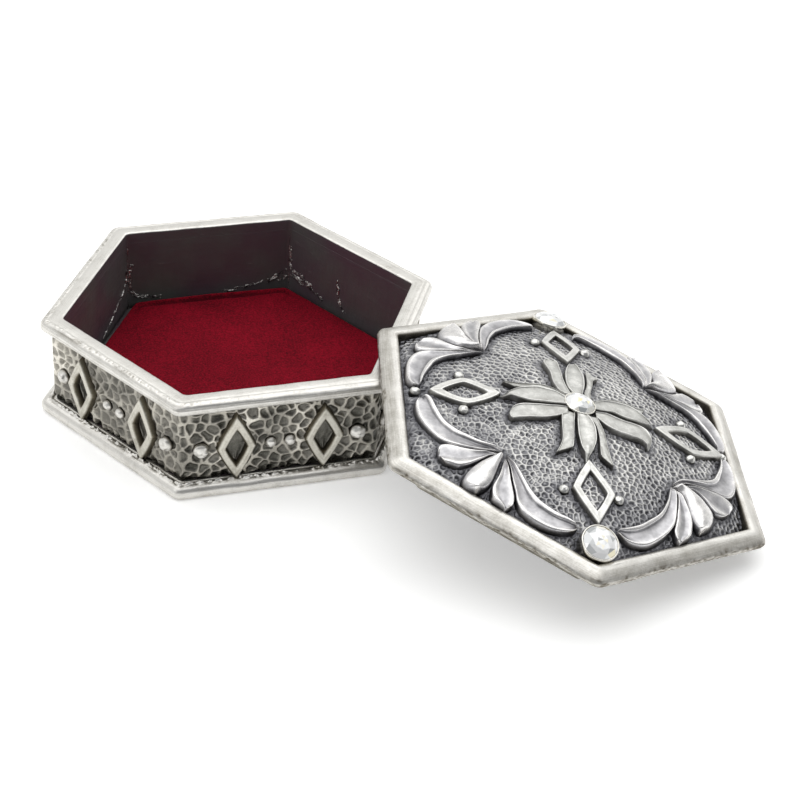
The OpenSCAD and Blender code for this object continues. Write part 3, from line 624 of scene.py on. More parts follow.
pad_a, pad_low = 22.516, 3.0
w = np.arange(6 * 90)[:, None] / 90
share = np.concatenate([np.linspace(0.03, 0.9, 60), np.linspace(0.905, 0.985, 18), [0.995, 1.0, 0.996, 0.975],
                        np.linspace(0.93, 0.03, 12)])[None, :]
level = np.concatenate([np.ones(60), np.linspace(1.0, 0.88, 18), [0.68, 0.4, 0.12, 0.0], np.zeros(12)])[None, :]
ragged = 0.16 * swell(w * 2.2, 0, 101, 13) + 0.07 * swell(w * 7, 0, 102, 42)
a = share * (pad_a - 0.08 + np.clip(ragged, -0.4, 0.08))
x, y, _, _ = six_sided(a, np.minimum(1.0 * share, a * 0.5), w, 90)
crown = 0.16 * (1 - share ** 2) + 0.10 * swell(x / 7 + 20, y / 7 + 20, 103) * (1 - share ** 6)
crown = crown + 0.03 * swell(x / 1.7 + 50, y / 1.7 + 50, 104)
curl = 0.12 * np.clip(swell(w * 1.5, 3, 105, 9), 0, 1) * np.exp(-((share - 0.985) / 0.03) ** 2)
# The back edge is folded up behind a crease
behind = np.clip(1 - np.abs((w + 3) % 6 - 3.5) / 0.62, 0, 1) ** 0.5
fold = behind * (0.46 * np.exp(-((share - 0.972) / 0.016) ** 2) - 0.42 * np.exp(-((share - 0.935) / 0.018) ** 2))
z = pad_low + 0.02 + level * (1.22 + crown + curl + fold)
points, faces = loft(np.stack([x, y, z + 0 * x], -1), joined=True, filled=True)
# Painted shade in the crease before the back fold, a painted highlight on the fold's top, and darker down the pad's
# sides
fold_shading_field = 1.6 * np.exp(-((share - 0.94) / 0.018) ** 2) - 0.5 * np.exp(-((share - 0.972) / 0.012) ** 2)
fold_shading_field = np.clip(behind * fold_shading_field + 0.8 * (1 - level), -0.5, 1)
cushion = piece("velvet_cushion", [(points, faces, {"hollow": fold_shading_field})], "box", [velvet], ["velvet_pad"])

# ---- Lid plate ----
# The lid's domed field, cast in pewter with a pebbled ground: round cells some 0.8 mm across with thin rubbed
# walls and blackened floors. Its rough underside is scooped out behind the dome.

# How the lid lies: turned, tilted and moved from flat with its underside at z = 0
lean, tilt, spin = math.radians(-24.5), math.radians(13.8395), math.radians(11.2)
lid_turn = np.array(Matrix.Rotation(lean, 3, "Z") @ Matrix.Rotation(tilt, 3, "Y") @ Matrix.Rotation(spin, 3, "Z"))
lid_place = np.array([39.9593, -37.1680, 10.1633])
field_r, field_a = 29.2, 25.288
dome_top, dome_ball = 5.2, 90.326
relief = 1.2


def on_lid(points):
    """From the flat lid's millimetres to where the lid lies"""
    return points @ lid_turn.T + lid_place


def dome(x, y):
    """Height of the bare field"""
    return dome_top - dome_ball + np.sqrt(dome_ball ** 2 - np.minimum(x * x + y * y, 1000))


def evenly(line, count):
    """A line with its points evenly spaced"""
    run = np.concatenate([[0.0], np.cumsum(np.hypot(*np.diff(line, axis=0).T))])
    at = np.linspace(0, run[-1], count)
    return np.column_stack([np.interp(at, run, line[:, 0]), np.interp(at, run, line[:, 1])])


def edges(drawn, count):
    """The two edges of a leaf as smooth lines of so many points. Where they share their tip it is rounded"""
    one, other = drawn
    if one[-1] != other[-1]:
        return evenly(flowing(one, 12), count), evenly(flowing(other, 12), count)
    whole = flowing(one + other[-2::-1], 12)
    cut = 12 * (len(one) - 1)
    return evenly(whole[:cut + 1], count), evenly(whole[cut:][::-1], count)


# The drawing of the ornament: each leaf or petal as its two edges from root to tip, as x, y for a palmette in
# the quadrant +x, +y and for an arm of the cross along +x. No two were cast alike; the near left palmette and the
# four arms each have their own outlines. A petal whose edges end apart is cut off square.
PALMETTE = {
    "side": ([(12.9, 11.6), (14.4, 11.0), (16.0, 10.5), (18.6, 10.1), (20.3, 10.0), (21.5, 10.1), (22.8, 9.8),
              (23.9, 8.8), (24.7, 6.9), (25.0, 4.4),
              (24.9, 2.4), (24.3, 1.2), (23.4, 1.2)],
             [(12.9, 11.6), (14.2, 10.5), (16.1, 9.6), (18.9, 8.4), (20.5, 7.2), (21.5, 5.5), (22.5, 3.4),
              (23.0, 1.9), (23.4, 1.2)]),
    "end": ([(12.8, 11.9), (13.4, 13.3), (13.1, 16.3), (12.5, 19.0), (11.7, 20.5), (10.9, 21.6), (9.6, 22.9),
             (8.0, 24.1), (6.5, 24.6), (5.0, 24.6),
             (3.8, 24.0), (3.3, 23.0)],
            [(12.8, 11.9), (12.2, 13.4), (11.6, 15.4), (10.2, 18.0), (8.3, 19.9), (6.7, 21.2), (4.8, 22.3),
             (3.3, 23.0)]),
    "small_a": ([(13.4, 11.8), (15.0, 11.5), (16.2, 11.5), (17.3, 11.9), (18.3, 12.7), (19.2, 13.7), (20.1, 14.3),
                 (21.4, 14.1), (22.4, 13.1)],
                [(13.4, 11.8), (15.2, 11.0), (17.3, 10.5), (19.4, 10.2), (21.6, 10.1), (22.9, 10.6), (23.2, 11.6),
                 (22.4, 13.1)]),
    "small_b": ([(12.9, 12.2), (13.5, 13.8), (13.1, 16.7), (12.5, 19.3), (12.2, 20.4), (12.4, 21.5), (13.2, 21.8)],
                [(12.9, 12.2), (14.1, 13.0), (14.6, 14.2), (15.1, 15.6), (15.4, 17.0), (15.4, 18.5), (14.9, 20.3),
                 (13.2, 21.8)]),
    "middle": ([(13.0, 12.0), (14.2, 13.0), (14.9, 14.8), (15.2, 16.6), (15.8, 18.1), (16.8, 18.8)],
               [(13.0, 12.0), (14.6, 11.7), (15.9, 11.9), (17.1, 12.4), (18.1, 13.1), (19.1, 14.1), (19.4, 15.4),
                (18.7, 17.3), (16.8, 18.8)])}
PALMETTE_NEAR_LEFT = {
    "side": ([(12.3, 12.2), (14.5, 12.5), (16.5, 12.4), (18.6, 12.0), (20.2, 11.4), (21.5, 10.4), (22.6, 8.9),
              (23.5, 7.2), (24.0, 5.8), (24.2, 4.0),
              (24.0, 2.7), (23.2, 1.8)],
             [(12.3, 12.2), (13.7, 11.6), (15.5, 10.9), (17.1, 10.0), (18.7, 9.0), (20.0, 7.6), (20.9, 5.7),
              (21.5, 3.8), (21.9, 2.4), (22.4, 1.7), (23.2, 1.8)]),
    "end": ([(12.0, 12.4), (11.9, 14.0), (11.7, 15.7), (11.5, 17.7), (11.2, 19.7), (11.0, 21.2), (10.4, 22.3),
             (9.3, 23.4), (8.0, 24.2), (6.6, 24.8),
             (5.2, 25.0), (3.8, 24.9), (2.9, 24.5), (2.6, 23.8)],
            [(12.0, 12.4), (11.5, 13.8), (10.8, 15.2), (9.9, 17.0), (9.0, 18.8), (7.9, 20.3), (6.5, 21.4),
             (5.1, 22.2), (3.7, 22.8), (2.6, 23.8)]),
    "small_a": ([(12.5, 12.5), (14.2, 13.3), (15.7, 14.4), (17.3, 15.3), (18.7, 15.7), (19.7, 15.4), (20.7, 14.9),
                 (21.4, 13.9)],
                [(12.5, 12.5), (14.7, 12.7), (16.5, 12.7), (18.3, 12.3), (19.9, 11.8), (21.1, 11.9), (21.5, 12.6),
                 (21.4, 13.9)]),
    "small_b": ([(12.1, 12.9), (12.8, 15.1), (13.4, 17.0), (14.2, 18.6), (14.4, 19.5), (14.3, 20.6), (13.5, 21.5),
                 (12.5, 22.2)],
                [(12.1, 12.9), (11.95, 15.1), (11.75, 17.4), (11.45, 19.1), (11.3, 20.7), (11.6, 21.9), (12.5, 22.2)]),
    "middle": ([(12.3, 12.8), (13.1, 14.9), (13.8, 17.1), (14.5, 18.6), (15.4, 19.5), (16.4, 19.8)],
               [(12.3, 12.8), (14.2, 13.7), (15.8, 14.8), (17.2, 16.0), (18.1, 17.3), (18.3, 18.4), (17.6, 19.4),
                (16.4, 19.8)])}
CROSS = {
    "right": {
        "left": ([(2.2, 1.6), (4.3, 2.9), (6.3, 3.4), (8.0, 3.5), (9.4, 3.2), (10.8, 3.4)],
                 [(2.2, 0.6), (4.3, 1.9), (6.3, 2.5), (8.0, 2.5), (9.3, 2.0), (9.9, 1.8)]),
        "middle": ([(2.2, 1.1), (3.0, 1.8), (4.3, 2.5), (6.3, 3.0), (8.0, 2.9), (9.4, 2.2), (10.5, 1.1),
                    (11.5, 0.15), (12.2, 0.0)],
                   [(2.2, -0.5), (3.0, -0.35), (4.2, -0.15), (5.3, -0.15), (6.8, -0.55), (8.4, -0.6), (10.1, -0.5),
                    (11.5, -0.15), (12.2, 0.0)]),
        "right": ([(2.2, -2.2), (3.9, -3.7), (5.4, -4.2), (7.0, -4.35), (8.6, -4.45), (9.5, -4.9), (10.1, -5.75)],
                  [(2.2, -0.9), (4.0, -0.6), (5.2, -0.85), (6.7, -1.15), (8.3, -1.15), (9.6, -1.3), (10.4, -1.95),
                   (10.75, -3.7), (10.1, -5.75)])},
    "far": {
        "left": ([(2.2, 2.4), (2.9, 3.1), (4.7, 3.55), (7.1, 3.65), (8.7, 4.0), (10.1, 4.25), (10.9, 3.9),
                  (11.2, 3.1)],
                 [(2.2, 1.15), (4.0, 1.6), (6.1, 1.8), (8.65, 1.85), (10.5, 1.9), (11.1, 2.3), (11.2, 3.1)]),
        "middle": ([(2.2, 0.8), (2.8, 1.1), (4.3, 1.55), (7.1, 1.45), (9.7, 0.7), (11.4, -0.2), (12.2, -0.05)],
                   [(2.2, -0.5), (3.2, -0.8), (5.5, -1.45), (8.1, -1.7), (10.5, -1.3), (11.6, -0.5), (12.2, -0.05)]),
        "right": ([(2.2, -2.0), (3.6, -2.1), (5.7, -2.75), (7.5, -3.2), (8.3, -4.1)],
                  [(2.2, -0.9), (3.5, -1.1), (5.3, -1.75), (7.5, -2.1), (9.0, -2.2), (10.0, -2.5)])},
    "left": {
        "left": ([(2.2, 2.6), (3.2, 3.2), (4.5, 3.9), (6.5, 4.6), (8.3, 4.9), (9.8, 5.3), (10.7, 5.6), (11.1, 5.2),
                  (11.1, 4.3)],
                 [(2.2, 1.15), (3.4, 1.2), (5.3, 1.45), (7.2, 1.7), (8.7, 1.9), (9.7, 2.3), (10.5, 3.0), (11.1, 4.3)]),
        "middle": ([(2.2, 0.75), (2.9, 0.75), (4.9, 1.0), (7.2, 1.25), (9.1, 1.05), (10.5, 0.7), (11.5, 0.75),
                    (12.2, 0.35)],
                   [(2.2, -1.0), (3.6, -2.0), (4.8, -2.4), (6.7, -2.4), (9.1, -1.6), (10.5, -0.5), (11.4, 0.3),
                    (12.2, 0.35)]),
        "right": ([(2.2, -2.0), (4.1, -3.0), (5.9, -3.2), (7.9, -2.9), (9.6, -2.7), (11.3, -2.9)],
                  [(2.2, -1.0), (4.1, -2.0), (6.0, -2.2), (7.9, -1.9), (9.5, -1.8)])},
    "near": {
        "left": ([(2.2, 2.2), (4.8, 2.9), (6.7, 3.0), (8.7, 3.1), (10.4, 3.3), (11.9, 3.6)],
                 [(2.2, 0.8), (3.9, 1.7), (5.8, 1.95), (7.4, 1.95), (9.1, 1.8), (10.2, 1.8)]),
        "middle": ([(2.2, 0.7), (3.6, 1.4), (5.5, 1.62), (7.7, 1.4), (9.7, 0.7), (11.3, -0.1), (12.2, -0.3)],
                   [(2.2, -0.85), (3.8, -1.1), (5.1, -1.2), (7.2, -1.3), (9.2, -1.1), (10.7, -0.65), (11.8, -0.45),
                    (12.2, -0.3)]),
        "right": ([(2.2, -3.0), (3.5, -3.4), (4.9, -3.55), (7.0, -3.65), (8.5, -3.8), (9.8, -4.2), (11.3, -4.9)],
                  [(2.2, -1.15), (3.8, -1.42), (6.1, -1.77), (8.2, -2.0), (9.6, -2.2)])}}
lid_loz_in, lid_loz_out, lid_loz_w, lid_loz_bar = 11.9, 22.988, 3.15, 1.05
lid_loz_mid, lid_loz_half = (lid_loz_in + lid_loz_out) / 2, (lid_loz_out - lid_loz_in) / 2
lid_bead_across, lid_bead_beyond, stone_out = 4.05, 23.89, 26.9
# Each palmette's name, its drawing, and which way it is mirrored
PALMETTES = (("far_right", PALMETTE, 1, 1), ("far_left", PALMETTE, -1, 1), ("near_left", PALMETTE_NEAR_LEFT, -1, -1),
             ("near_right", PALMETTE, 1, -1))

# Pebbled pewter: thin bright walls round dark cells, purplish grey where the black was left on
pebbled_pewter = pewter("pebbled_blackened_pewter",
                        [(0.0, "#eae9e6"), (0.2, "#c6c5c2"), (0.5, "#8f8f91"), (0.8, "#5f5f63"), (1.0, "#232326")],
                        (0.28, 0.46), 0.15, 0.010)

fine_steps = 260
corners = np.array([(1, 0), (0, 1), (-1, 1), (-1, 0), (0, -1), (1, -1)])
q, r = np.meshgrid(*[np.arange(-fine_steps, fine_steps + 1)] * 2, indexing="ij")
within = np.maximum.reduce([np.abs(q), np.abs(r), np.abs(q + r)]) <= fine_steps
index = np.full(q.shape, -1)
index[within] = np.arange(within.sum())
step = field_r / fine_steps
one, two = (np.array([math.cos(math.radians(b)), math.sin(math.radians(b))]) * step for b in (30, 90))
flat = q[within][:, None] * one + r[within][:, None] * two
here, right, up, far = index[:-1, :-1], index[1:, :-1], index[:-1, 1:], index[1:, 1:]
first = (here >= 0) & (right >= 0) & (up >= 0)
second = (right >= 0) & (far >= 0) & (up >= 0)
triangles = np.concatenate([np.stack([here[first], right[first], up[first]], 1),
                            np.stack([right[second], far[second], up[second]], 1)])
fx, fy = flat[:, 0], flat[:, 1]
pebble = 0.92
warp_x = fx / pebble + 0.25 * swell(fx / 1.9 + 40, fy / 1.9 + 40, 111) + 60
warp_y = fy / pebble + 0.25 * swell(fx / 1.9 + 40, fy / 1.9 + 40, 112) + 60
wall, centre, own = cells(warp_x, warp_y, 113, 0.72)
wall = wall - 0.35 * np.clip(centre - 0.42, 0, 1) + 0.02
away = np.full(len(fx), 9.0)
bead_room, cup_room = 0.7, 2.9


def keep_off(outline, room=0.0):
    """Notes how far each point of the field is from a line of the drawing, or from a round thing's edge"""
    low, high = outline.min(0) - 1.6 - room, outline.max(0) + 1.6 + room
    near = np.flatnonzero((fx > low[0]) & (fx < high[0]) & (fy > low[1]) & (fy < high[1]))
    px, py = fx[near], fy[near]
    best = np.full(len(near), 9.0)
    for (ax, ay), (bx, by) in zip(outline[:-1], outline[1:]):
        dx, dy = bx - ax, by - ay
        share = np.clip(((px - ax) * dx + (py - ay) * dy) / max(dx ** 2 + dy ** 2, 1e-9), 0, 1)
        best = np.minimum(best, np.hypot(px - ax - share * dx, py - ay - share * dy))
    away[near] = np.minimum(away[near], best - room)


def outline_of(drawn, count):
    """A leaf's two edges as one line"""
    one_edge, other_edge = edges(drawn, count)
    return np.concatenate([one_edge, other_edge[::-1]])


for _, leaves, sx, sy in PALMETTES:
    for drawn in leaves.values():
        keep_off(outline_of(drawn, 24) * np.array([sx, sy]))
for k, petals in enumerate(CROSS.values()):
    c, s = math.cos(k * math.pi / 2), math.sin(k * math.pi / 2)
    arm_turn = np.array([[c, s], [-s, c]])
    for drawn in petals.values():
        keep_off(outline_of(drawn, 20) @ arm_turn)
    for side in (-1, 1):
        keep_off(np.array([[lid_loz_mid, side * lid_bead_across]] * 2) @ arm_turn, bead_room)
    edge = lozenge_edge(c * fx + s * fy - lid_loz_mid, -s * fx + c * fy, lid_loz_half, lid_loz_w)
    away = np.minimum(away, np.where(edge > -lid_loz_bar, np.abs(edge + lid_loz_bar / 2) - lid_loz_bar / 2, 9))
for middle, room in (((lid_bead_beyond, 0), bead_room), ((-lid_bead_beyond, 0), bead_room),
                     ((0, stone_out), cup_room), ((0, -stone_out), cup_room), ((0, 0), cup_room)):
    keep_off(np.array([middle] * 2), room)
to_rim = field_a - flat_reach(fx, fy, 0)
away = np.minimum(away, to_rim - 0.1)
sunk = 1 - np.exp(-(np.maximum(wall * pebble - 0.035, 0) / 0.13) ** 2)
# Some dishes have a raised dot left in them, most of them at the near left
dot = np.exp(-(centre * pebble / 0.21) ** 2) * (own > 0.75 - 0.7 * np.clip((6 - fx - 1.2 * fy) / 26, 0, 1))
open_part = np.clip(away / 0.35, 0, 1)
depth = 0.03 + sunk * (0.18 + 0.06 * own) * (0.3 + 0.7 * open_part) - 0.10 * dot * open_part
depth = depth + 0.04 * swell(fx * 2.2 + 60, fy * 2.2 + 60, 119)
# Painted light: the middle of the field is painted brightest and the near left darker, for how the light falls across
# the dome
painted_field_light = np.clip(1 - np.hypot(fx - 2.5, fy - 1) / 24, 0, 1) - 0.35 * np.clip((-fy - 0.5 * fx - 4) / 14, 0, 1)
shade = 0.06 + sunk * (0.48 + 0.30 * own) - 0.46 * dot
shade = shade + 0.22 * (1 - painted_field_light) * (1 - 0.4 * sunk) + 0.10 * swell(fx / 5 + 9, fy / 5 + 9, 114)
# Round the ornament and inside the rim the field is darkened: partly black left on in the crevices, partly painted
# shade
halo_black_and_shade = 0.80 + 0.10 * swell(fx * 2.5 + 60, fy * 2.5 + 60, 120) - np.clip(away - 0.15, 0, 2) * 0.5
shade = np.clip(np.maximum(shade, halo_black_and_shade), 0, 1)
# The ground lies higher between the ornament than under it
swollen = np.clip((to_rim - 0.4) / 2.5, 0, 1) * (0.36 + 0.16 * np.clip(1 - np.hypot(fx, fy) / 16, 0, 1))
crust = np.column_stack([fx, fy, dome(fx, fy) + swollen - depth])
ring = [fine_steps * corners[k] + i * (corners[(k + 1) % 6] - corners[k]) for k in range(6) for i in range(fine_steps)]
ring = np.array(ring) + fine_steps
rim_points = index[ring[:, 0], ring[:, 1]]
bottom_share = np.concatenate([[1.0, 0.98], np.linspace(0.95, 0.05, 34), [0.01]])
bx, by = crust[rim_points, 0][:, None] * bottom_share, crust[rim_points, 1][:, None] * bottom_share
hollow_r, hollow_h = 20.816, 3.2
hollow_ball = (hollow_r ** 2 + hollow_h ** 2) / (2 * hollow_h)
scoop = np.clip(hollow_h - hollow_ball + np.sqrt(np.clip(hollow_ball ** 2 - bx ** 2 - by ** 2, 0, None)), 0, None)
bz = scoop * (1 + 0.03 * swell(bx / 3 + 30, by / 3 + 30, 115))
bz = bz + 0.05 * swell(bx / 2 + 30, by / 2 + 30, 116) * (scoop > 0.2)
under = np.stack([bx, by, np.maximum(bz, 0)], -1)
n, m = len(rim_points), len(bottom_share)
start = len(crust)
i, j = np.arange(n)[:, None], np.arange(m - 1)[None, :]
after = start + (i + 1) % n * m
skirt = np.stack([rim_points, np.roll(rim_points, -1), after[:, 0], start + i[:, 0] * m], 1)
below = np.stack(np.broadcast_arrays(start + i * m + j, after + j, after + j + 1, start + i * m + j + 1), -1)
faces = triangles.tolist() + skirt.tolist() + below.reshape(-1, 4).tolist() + [[start + k * m + m - 1 for k in range(n)]]
points = on_lid(np.concatenate([crust, under.reshape(-1, 3)]))
rough_shade = 0.42 + 0.2 * swell(bx / 2 + 30, by / 2 + 30, 117) + 0.12 * swell(bx * 1.5 + 90, by * 1.5 + 90, 118)
shade = np.concatenate([shade, np.clip(rough_shade, 0, 1).ravel()])
piece("pebbled_lid_plate", [(points, faces, {"hollow": shade})], "lid", [pebbled_pewter], ["lid_plate"])

# ---- Lid rim and lip ----
# A plain rounded moulding round the field, scraped and buffed, brown and rough at its lower edge, and below
# it the lip that drops into the box's mouth.

section = flowing([(24.6, 0.0, 0.3), (26.5, 0.0, 1.0), (27.7, 0.02, 1.6), (28.12, 0.16, 1.9), (28.238, 0.45, 2.0),
                   (28.2, 0.75, 1.95), (27.914, 1.07, 1.68), (27.284, 1.46, 1.2), (26.6, 1.74, 1.1), (26.0, 1.82, 0.8),
                   (25.55, 1.72, 0.5), (25.3, 1.45, 0.3), (25.24, 0.9, 0.25), (25.2, 0.3, 0.2)], 4)
w, a, z, r = run_round(section, 240)
order = np.arange(a.shape[1]) * 0.14 + 0 * w
outer = (a > 26.2) & (z > 0.05)
dent = (0.07 * swell(w * 6, order * 0.6, 121, 36) + 0.025 * swell(w * 26, order * 1.6, 122, 156)) * outer
lower = np.clip((1.1 + 0.3 * swell(w * 12, 0, 123, 72) - z) / 0.4, 0, 1) * (a > 26.8)
pits = np.clip(swell(w * 60, order * 3, 124, 360) + 0.3 * swell(w * 130, order * 5, 125, 780), -1, 1)
x, y, _, _ = six_sided(a + dent - 0.05 * lower * (pits > 0.1) * pits, r, w, 0)
points = on_lid(np.stack([x, y, z + 0.5 * dent * (z > 1) + 0 * x], -1))
# The crest is painted lighter, partly rubbed bright and partly a painted highlight along it; the face towards the field
# is painted dark, painted shade
crest_wear_and_highlight = np.exp(-((a - 26.3) / 0.5) ** 2) * (z > 1.3)
hollow = np.clip(0.23 - 0.2 * crest_wear_and_highlight + 0.16 * lower + 0.34 * lower * np.clip(pits, -0.3, 1)
                 + 0.6 * np.clip((25.55 - a) / 0.3, 0, 1) * (z > 0.1) + 0.07 * swell(w * 4, order, 126, 24)
                 + 0.35 * (z < 0.1), 0, 1)
points, faces = loft(points, joined=True)
piece("lid_moulding", [(points, faces, {"hollow": hollow, "along": w * 31 + 0 * a, "across": order})],
      "lid", [satin_pewter], ["lid_rim"])

# The lip keeps its plain cast shape: dull pewter straight from the mould
lip_pewter, tree, shader = new_material("plain_cast_pewter")
place = add(tree, "TexCoord").outputs["Object"]
skin = add(tree, "TexNoise", {"Vector": place, "Scale": 1 / 0.0009, "Detail": 5.0, "Roughness": 0.6})
feed(tree, shader, {"Base Color": add(tree, "ValToRGB", {0: skin}, [(0.3, "#6e6a60"), (0.7, "#a9a59a")]),
                    "Normal": add(tree, "Bump", {"Height": skin, "Strength": 1.0, "Distance": 0.00004}),
                    "Metallic": 1.0, "Roughness": 0.48})
dress("lid_lip", lip_pewter)

# ---- Cross ----
# Four arms of three petals round the middle crystal, cast on the dome: a flat pointed petal with a thin raised
# border, between two rounded ones that hook outwards.

# Petals rubbed flat: a calm pale satin, brown-black only down the sides
petal_pewter = pewter("flat_rubbed_pewter", [(0.0, "#e2e1dd"), (0.22, "#bcbcb8"), (0.55, "#878581"), (1.0, "#292829")],
                      (0.30, 0.5), 0.35, 0.006)


def blade(left, right, section, rise, seed):
    """A leaf on the dome between two edges, each a row of points from root to tip, with a section as rows of
    (across from -1 to 1, height as a share of rise, hollow). Where its edges end apart it ends in a steep face"""
    section = flowing(section, 3)
    c, h, dark = section[:, 0], section[:, 1], section[:, 2]
    middle, half = (left + right) / 2, (right - left) / 2
    flat = middle[:, None] + half[:, None] * c[None, :, None]
    width = np.hypot(*half.T)[:, None]
    beyond = np.sign(c) * np.clip(np.abs(c) - 1, 0, 1) * 1.5
    flat = flat + half[:, None] / np.maximum(width, 0.05)[..., None] * beyond[None, :, None]
    low = np.clip(width / 0.5, 0.0, 1) ** 0.5
    run = np.arange(len(left))[:, None] / 9
    height = np.where(h > 0, rise * h * low * (1 + 0.05 * swell(run, c * 1.3 + 5, seed)), h) + 0 * run
    shade = np.clip(dark + 0.09 * swell(run * 1.6, c * 2 + 9, seed + 1) + 0 * run, 0, 1)
    if width[-1] > 0.1:
        ahead = middle[-1] - middle[-2]
        ahead /= np.hypot(*ahead)
        last, last_shade = height[-1], shade[-1]
        for share, down, more in ((0.97, 0, 0.1), (0.8, 0, 0.45), (0.4, 0, 0.7), (0.0, 0.5, 0.9)):
            flat = np.concatenate([flat, flat[-1:] + ahead * 0.03])
            height = np.concatenate([height, np.where(h > 0, last * share, h)[None] - down])
            shade = np.concatenate([shade, np.clip(last_shade + more, 0, 0.85)[None]])
    z = dome(flat[..., 0], flat[..., 1]) + height
    return np.concatenate([flat, z[..., None]], -1), shade


BORDERED = [(-1.04, -0.5, 0.8), (-1.02, 0.1, 0.7), (-1.0, 0.75, 0.4), (-0.97, 0.95, 0.05), (-0.91, 1.0, 0.0),
            (-0.85, 0.98, 0.05), (-0.78, 0.90, 0.34), (-0.7, 0.89, 0.30), (-0.4, 0.90, 0.24), (0, 0.91, 0.22),
            (0.4, 0.90, 0.24), (0.7, 0.89, 0.30), (0.78, 0.90, 0.34), (0.85, 0.98, 0.05), (0.91, 1.0, 0.0),
            (0.97, 0.95, 0.05), (1.0, 0.75, 0.35), (1.02, 0.1, 0.6), (1.04, -0.5, 0.7)]
for number, (arm_name, petals) in enumerate(CROSS.items()):
    shells = []
    for petal, drawn in petals.items():
        rise = relief * (1.15 if petal == "middle" else 1.02)
        rows, shade = blade(*edges(drawn, 64), BORDERED, rise, 130 + 9 * number + len(petal))
        shells.append((*loft(on_lid(turned(rows, 90 * number))), {"hollow": shade}))
    piece("cross_petals_" + arm_name, shells, "lid", [petal_pewter], ["cross_arm_" + arm_name])

# ---- Lid lozenges and beads ----
# A lozenge frame beyond each arm with a bead at either side, and one more bead outside the left and right ones.

# Placed and cut by hand, so each differs: middle and half length along the arm, shift across it, skew, and how much
# its corners bulge
ASKEW = {"right": (18.0, 6.0, 0.0, 0.0, 1.22), "far": (17.7, 5.75, 0.0, 0.0, 1.08), "left": (17.0, 5.15, 0.0, 0.0, 1.22),
         "near": (17.05, 5.55, 0.25, 0.06, 1.08)}
for number, (arm_name, (middle, half_length, shift, skew, bulge)) in enumerate(ASKEW.items()):
    rows, shade = lozenge(half_length, lid_loz_w, lid_loz_bar, 0.85, bulge, 160 + number)
    rows = rows + np.array([middle, shift, 0]) + rows[..., :1] * np.array([0, skew, 0])
    rows[..., 2] = np.where(rows[..., 2] > 0, rows[..., 2] * relief, rows[..., 2]) + dome(rows[..., 0], rows[..., 1])
    shell = (*loft(on_lid(turned(rows, 90 * number)), joined=True), {"hollow": shade})
    piece("lid_frame_" + arm_name, [shell], "lid", [petal_pewter], ["lid_lozenge_" + arm_name])

spots = [(lid_loz_mid, side * lid_bead_across, 90 * k) for k in range(4) for side in (-1, 1)]
spots += [(lid_bead_beyond, 0, 0), (lid_bead_beyond, 0, 180)]
shells = []
for number, (bx, by, degrees) in enumerate(spots):
    rows, shade = bead_shell(0.8, 0.12, 170 + number)
    rows = rows + np.array([bx, by, 0])
    rows[..., 2] += dome(np.float64(bx), np.float64(by)) + 0.3
    shells.append((*loft(on_lid(turned(rows, degrees))), {"hollow": shade}))
piece("lid_bead_row", shells, "lid", [petal_pewter], ["lid_beads"])

# ---- Palmettes ----
# Four sprays of five leaves: long gouged ones curving towards the crystals and the side lozenges, two small
# gouged ones, and a plump middle leaf. Polished, with the black left in the gouges' creases.

# Wheel-polished pewter: clear soft highlights, dark only in the creases
polished_pewter = pewter("wheel_polished_pewter",
                         [(0.0, "#eceae8"), (0.3, "#bab9bb"), (0.65, "#7b7a7d"), (1.0, "#29282a")],
                         (0.25, 0.45), 0.5, 0.008)

GOUGED = [(-1.04, -0.5, 0.9), (-1.02, 0.1, 0.8), (-1.0, 0.6, 0.5), (-0.95, 0.86, 0.12), (-0.84, 0.94, 0.0),
          (-0.66, 0.88, 0.20), (-0.35, 0.76, 0.32), (0.05, 0.66, 0.38), (0.34, 0.62, 0.44), (0.50, 0.66, 0.52),
          (0.56, 0.88, 0.2), (0.66, 0.98, 0.02), (0.80, 1.02, 0.0), (0.92, 0.95, 0.1), (1.0, 0.6, 0.6), (1.02, 0.1, 0.95),
          (1.04, -0.5, 1.0)]
SCOOPED = [(-1.04, -0.5, 1.0), (-1.02, 0.1, 0.95), (-1.0, 0.6, 0.5), (-0.94, 0.88, 0.12), (-0.80, 0.98, 0.0),
           (-0.62, 0.92, 0.10), (-0.3, 0.76, 0.30), (0.1, 0.72, 0.36), (0.5, 0.86, 0.18), (0.76, 0.98, 0.0),
           (0.92, 0.9, 0.1), (1.0, 0.6, 0.5), (1.02, 0.1, 0.95), (1.04, -0.5, 1.0)]
PLUMP = [(-1.04, -0.5, 1.0), (-1.02, 0.1, 0.95), (-0.99, 0.38, 0.6), (-0.88, 0.66, 0.25), (-0.6, 0.88, 0.06),
         (0, 1.03, 0.0), (0.6, 0.88, 0.06), (0.88, 0.66, 0.25), (0.99, 0.38, 0.6), (1.02, 0.1, 0.95), (1.04, -0.5, 1.0)]
CUTS = {"side": GOUGED, "end": GOUGED, "small_a": SCOOPED, "small_b": SCOOPED, "middle": PLUMP}

for corner_name, leaves, sx, sy in PALMETTES:
    shells = []
    for number, (leaf_name, drawn) in enumerate(leaves.items()):
        rise = relief + (0.55 if leaf_name == "middle" else 0.0)
        rows, shade = blade(*edges(drawn, 72), CUTS[leaf_name], rise, 180 + 7 * number + sx + 2 * sy)
        shells.append((*loft(on_lid(rows * np.array([sx, sy, 1]))), {"hollow": shade}))
    piece("palmette_leaves_" + corner_name, shells, "lid", [polished_pewter], ["palmette_" + corner_name])

# ---- Crystals and their cups ----
# Three round foiled crystals, cut with eight main facets, each pressed into a silvered cup whose edge is
# rolled over it.

# Silvered brass: bright and smooth, a little yellow in the creases
silvered = pewter("silvered_brass_cup", [(0.0, "#f1efe9"), (0.5, "#b9b4a4"), (1.0, "#4a4433")], (0.14, 0.3), 0.6, 0.004)
